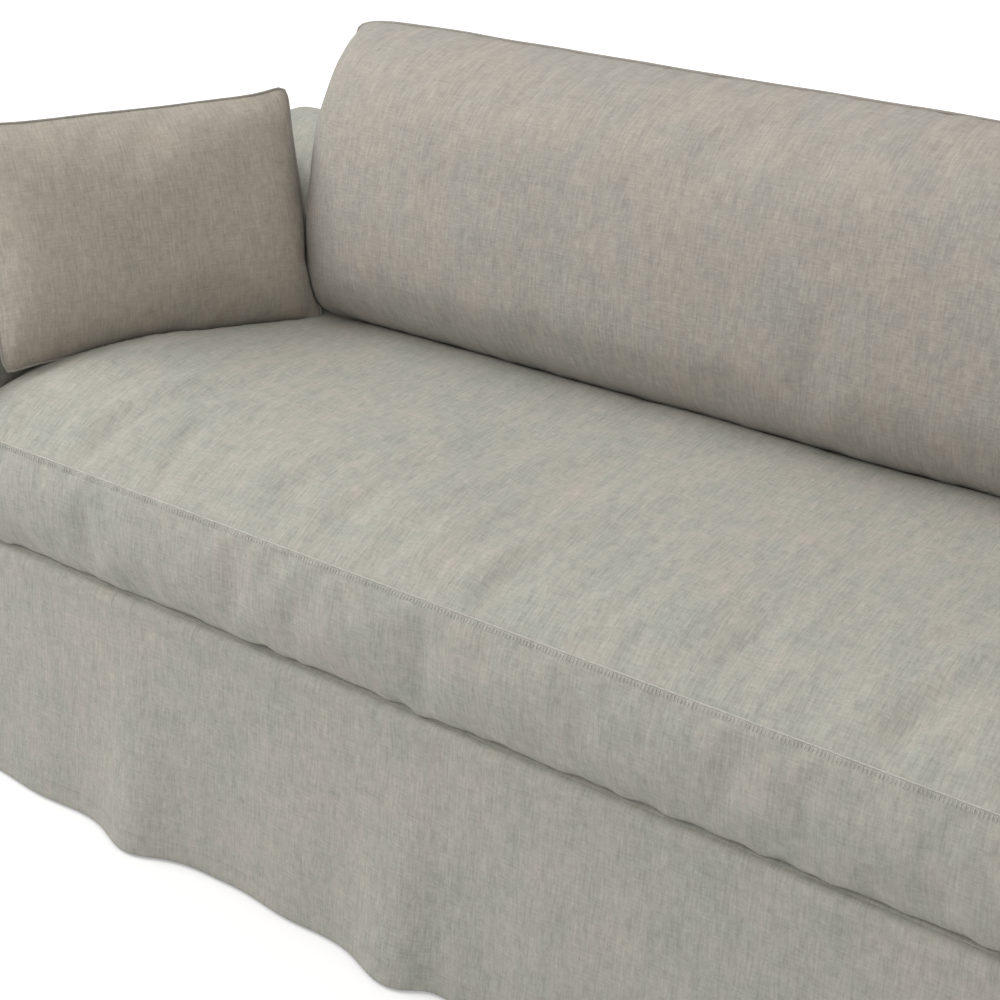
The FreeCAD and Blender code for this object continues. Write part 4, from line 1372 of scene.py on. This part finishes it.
class SOFA_OT_skirt(bpy.types.Operator):
    """Floor-length skirt of four panels with soft folds"""

    bl_idname = "sofa.skirt"
    bl_label = "Skirt"

    def execute(self, context):
        s = sizes()
        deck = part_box("front_skirt")[1][2]
        free = deck - HEM - KNEE_DROP
        for number, (name, (a, b, out)) in enumerate(SKIRTS.items()):
            out = Vector(out)
            panel = Panels()
            span = (skirt_corner(*b, HEM, deck, s.hem_tuck)
                    - skirt_corner(*a, HEM, deck, s.hem_tuck)).length
            columns = round(span / SKIRT_STEP)
            rows = []
            drops = []
            for level in SKIRT_LEVELS:
                drop = KNEE_DROP * max(0.0, level)
                if level > 1:
                    drop = KNEE_DROP + free * (level - 1)
                drops.append(drop if level >= 0 else 0.02 * level)
                start, end = (skirt_corner(*corner, deck - drop, deck, s.hem_tuck)
                              for corner in (a, b))
                fall = max(0.0, (drop - KNEE_DROP) / free)
                shares = [c / columns for c in range(columns + 1)]
                rows.append(panel.row(
                    start.lerp(end, share)
                    + skirt_spot(name, number, span, share, level, drop, fall, out)
                    for share in shares))
            panel.panel(rows, lambda r, c: (c / columns * span + number * 3.1, -drops[r]),
                        (0, 0, HEM))
            piece = dressed(name + "_skirt_linen", panel, "sofa_frame", slip_linen(),
                            thickness=s.cloth)
            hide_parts(name + "_skirt")
            hem = [panel.points[i] + out * 0.0004 for i in rows[-3]]
            stitched(name + "_hem_stitches", "sofa_frame", hem, False, [out] * len(hem),
                     runs_of(hem, False), *HEM_STITCH, slip_linen())
        return {"FINISHED"}


# Deck, padding and fillings

DECK_STEP = 0.03  # how far apart the deck's points lie
# How far the soft pieces of a body lie inside their solids
INSETS = {"sofa_frame": 0.005, "back_cushion": 0.011}
OTHER_INSET = 0.007


class SOFA_OT_deck(bpy.types.Operator):
    """Flat panel of the slipcover under the seat cushion, and the dust cloth under the frame"""

    bl_idname = "sofa.deck"
    bl_label = "Deck and dust cloth"

    def execute(self, context):
        s = sizes()
        low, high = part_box("deck_cover")
        long, deep = high[0] - low[0], high[1] - low[1]
        panel = Panels()
        nx, ny = round(long / DECK_STEP), round(deep / DECK_STEP)
        rows = []
        for i in range(nx + 1):
            row = []
            for j in range(ny + 1):
                x = low[0] + long * i / nx
                y = low[1] + deep * j / ny
                edge = min(i, nx - i, j, ny - j)
                dip = 0.0004 * (0.5 + 0.5 * ripple(x * 9, y * 11, 2)) * min(1, edge)
                row.append((x, y, high[2] - dip))
            rows.append(panel.row(row))
        panel.panel(rows, lambda r, c: panel.points[rows[r][c]].xy[:], (0, 0, 0))
        piece = dressed("deck_linen", panel, "sofa_frame", slip_linen(), levels=0,
                        thickness=s.cloth)
        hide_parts("deck_cover")

        def divided(work):
            bmesh.ops.subdivide_edges(work, edges=work.edges, cuts=3, use_grid_fill=True)
            bmesh.ops.recalc_face_normals(work, faces=work.faces)

        cloth = linked("dust_cloth", welded_copy("dust_cover", divided))
        dust = colours().dust
        cloth.data.materials.append(shared("dust cloth", linen, tuple(dust), paler(dust, 1.3),
                                           s.thread, mapped=False, wear=0.4))
        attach(cloth, "sofa_frame")
        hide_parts("dust_cover")
        low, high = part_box("dust_cover")
        return {"FINISHED"}


class SOFA_OT_stuffing(bpy.types.Operator):
    """Wadding on the frame, and the fillings and foam inside the cushions"""

    bl_idname = "sofa.stuffing"
    bl_label = "Padding and fillings"

    def execute(self, context):
        fibre = ("fibre_padding", shared("fibre wadding", wadding, tuple(colours().wadding)))
        core = ("foam", shared("cushion foam", foam, tuple(colours().foam)))
        # Node, piece, body, slot and material, voxels and fill
        soft = [(side + "_arm_pad", side + "_arm_wadding", "sofa_frame", fibre, 0.009, 0.5)
                for side in SIDES]
        soft += [
            ("back_pad", "back_wadding", "sofa_frame", fibre, 0.009, 0.5),
            ("deck_pad", "deck_wadding", "sofa_frame", fibre, 0.008, 0.4),
            ("seat_cushion_filling", "seat_wadding", "seat_cushion", fibre, 0.012, 0.6),
            ("seat_cushion_core", "seat_foam", "seat_cushion", core, 0.02, 0.9),
            ("back_cushion_filling", "back_cushion_wadding", "back_cushion", fibre, 0.012, 0.5),
            ("back_cushion_core", "back_cushion_foam", "back_cushion", core, 0.014, 0.9)]
        soft += [(side + "_pillow_insert", side + "_pillow_stuffing", side + "_pillow", fibre,
                  0.009, 0.5) for side in SIDES]
        for node, name, body, (slot, material), voxel, fill in soft:
            piece = soft_copy(node, name, body, material, voxel,
                              INSETS.get(body, OTHER_INSET))
        return {"FINISHED"}


# Frame's finishes

class SOFA_OT_frame(bpy.types.Operator):
    """Finishes of the timber frame, springs, webbing, legs and zips"""

    bl_idname = "sofa.frame"
    bl_label = "Frame finishes"

    def execute(self, context):
        c = colours()
        wood = shared("frame timber", timber, tuple(c.timber_pale), tuple(c.timber_dark))
        board = shared("arm fibreboard", fibreboard, tuple(c.board))
        metal = shared("spring steel", steel, tuple(c.steel))
        plastic = shared("glide nylon", nylon, tuple(c.nylon), 0.02)
        straps = shared("webbing", nylon, tuple(c.webbing), 0.0025)
        tape = shared("zip tape", nylon, tuple(c.zip), 0.0016)
        by_word = [(("springs", "clips", "bolts"), metal), (("panels",), board),
                   (("glides",), plastic), (("webbing",), straps), (("zip",), tape),
                   (("rail", "stretcher", "uprights", "blocks", "leg", "post"), wood)]
        for name, node in NODES.items():
            for words, material in by_word:
                if any(word in name for word in words):
                    node.data.materials.clear()
                    node.data.materials.append(material)
                    break
        return {"FINISHED"}


# Stage

def lamp(name, place, target, size, power, colour):
    data = bpy.data.lights.new(name, "AREA")
    data.shape = "RECTANGLE"
    data.size, data.size_y = size
    data.energy = power
    data.color = colour
    light = linked(name, data)
    light.location = place
    light.rotation_euler = (Vector(target) - Vector(place)).to_track_quat("-Z", "Y").to_euler()


class SOFA_OT_stage(bpy.types.Operator):
    """White floor and ground, soft studio light and the photograph's camera"""

    bl_idname = "sofa.stage"
    bl_label = "Stage"

    def execute(self, context):
        scene = bpy.context.scene
        material, graph = new_material("studio floor")
        camera_ray = graph.node("ShaderNodeLightPath", out="Is Camera Ray")
        east, north, _ = graph.axes(graph.place())
        far = graph.ramp((east * east + north * north) * 0.1, (0.07, 0.27), (0.45, 0.6))
        seen = graph.node("ShaderNodeEmission", {"Strength": camera_ray * far})
        plain = graph.node("ShaderNodeBsdfDiffuse", {"Color": (0.8, 0.8, 0.8, 1.0),
                                                     "Roughness": 0.5})
        both = graph.node("ShaderNodeAddShader", {0: seen, 1: plain})
        graph.node("ShaderNodeOutputMaterial", {"Surface": both})
        mesh = bpy.data.meshes.new("floor")
        mesh.from_pydata([(-9, -9, 0), (9, -9, 0), (9, 9, 0), (-9, 9, 0)], [], [(0, 1, 2, 3)])
        mesh.materials.append(material)
        linked("floor", mesh)

        world = bpy.data.worlds.new("studio")
        scene.world = world
        world.use_nodes = True
        sky = Graph(world.node_tree)
        ray = sky.node("ShaderNodeLightPath", out="Is Camera Ray")
        light = sky.node("ShaderNodeBackground", {"Color": (1.0, 0.995, 0.98, 1.0),
                                                  "Strength": 0.52 + ray * 0.48})
        sky.node("ShaderNodeOutputWorld", {"Surface": light})

        lamp("key light", (-2.8, -1.3, 2.3), (0, 0, 0.4), (1.8, 1.8), 62, (1.0, 1.0, 0.99))
        lamp("top light", (0.3, -0.3, 3.6), (0, 0, 0.4), (3.6, 2.4), 42, (1.0, 0.99, 0.97))
        lamp("fill light", (0.9, -3.2, 1.1), (0, 0, 0.5), (3.0, 1.6), 13, (1.0, 1.0, 1.0))

        lens = bpy.data.cameras.new("camera")
        lens.sensor_width = 36
        lens.lens = 64.1
        lens.clip_end = 60
        camera = linked("camera", lens)
        camera.location = (0.708, -1.574, 1.352)
        camera.rotation_euler = (math.radians(62.35), 0, math.radians(35.3))
        scene.camera = camera
        scene.view_settings.view_transform = "Standard"
        return {"FINISHED"}


class SOFA_PT_panel(bpy.types.Panel):
    bl_idname = "SOFA_PT_panel"
    bl_label = "Slipcovered sofa"
    bl_space_type = "VIEW_3D"
    bl_region_type = "UI"
    bl_category = "Sofa"

    def draw(self, context):
        layout = self.layout
        for operator in OPERATORS:
            layout.operator(operator.bl_idname)
        for group in (sizes(), colours()):
            for name in group.__annotations__:
                layout.prop(group, name)


OPERATORS = (SOFA_OT_stage, SOFA_OT_arm_covers, SOFA_OT_back_cover, SOFA_OT_back_cushion,
             SOFA_OT_pillows, SOFA_OT_seat_cushion, SOFA_OT_skirt, SOFA_OT_deck,
             SOFA_OT_stuffing, SOFA_OT_frame)
CLASSES = (SofaSizes, SofaColours, *OPERATORS, SOFA_PT_panel)


def register():
    for each in CLASSES:
        bpy.utils.register_class(each)
    bpy.types.Scene.sofa_sizes = PointerProperty(type=SofaSizes)
    bpy.types.Scene.sofa_colours = PointerProperty(type=SofaColours)


def unregister():
    del bpy.types.Scene.sofa_colours
    del bpy.types.Scene.sofa_sizes
    for each in reversed(CLASSES):
        bpy.utils.unregister_class(each)


def main():
    register()
    for operator in OPERATORS:
        group, name = operator.bl_idname.split(".")
        getattr(getattr(bpy.ops, group), name)()


if __name__ == "__main__":
    main()
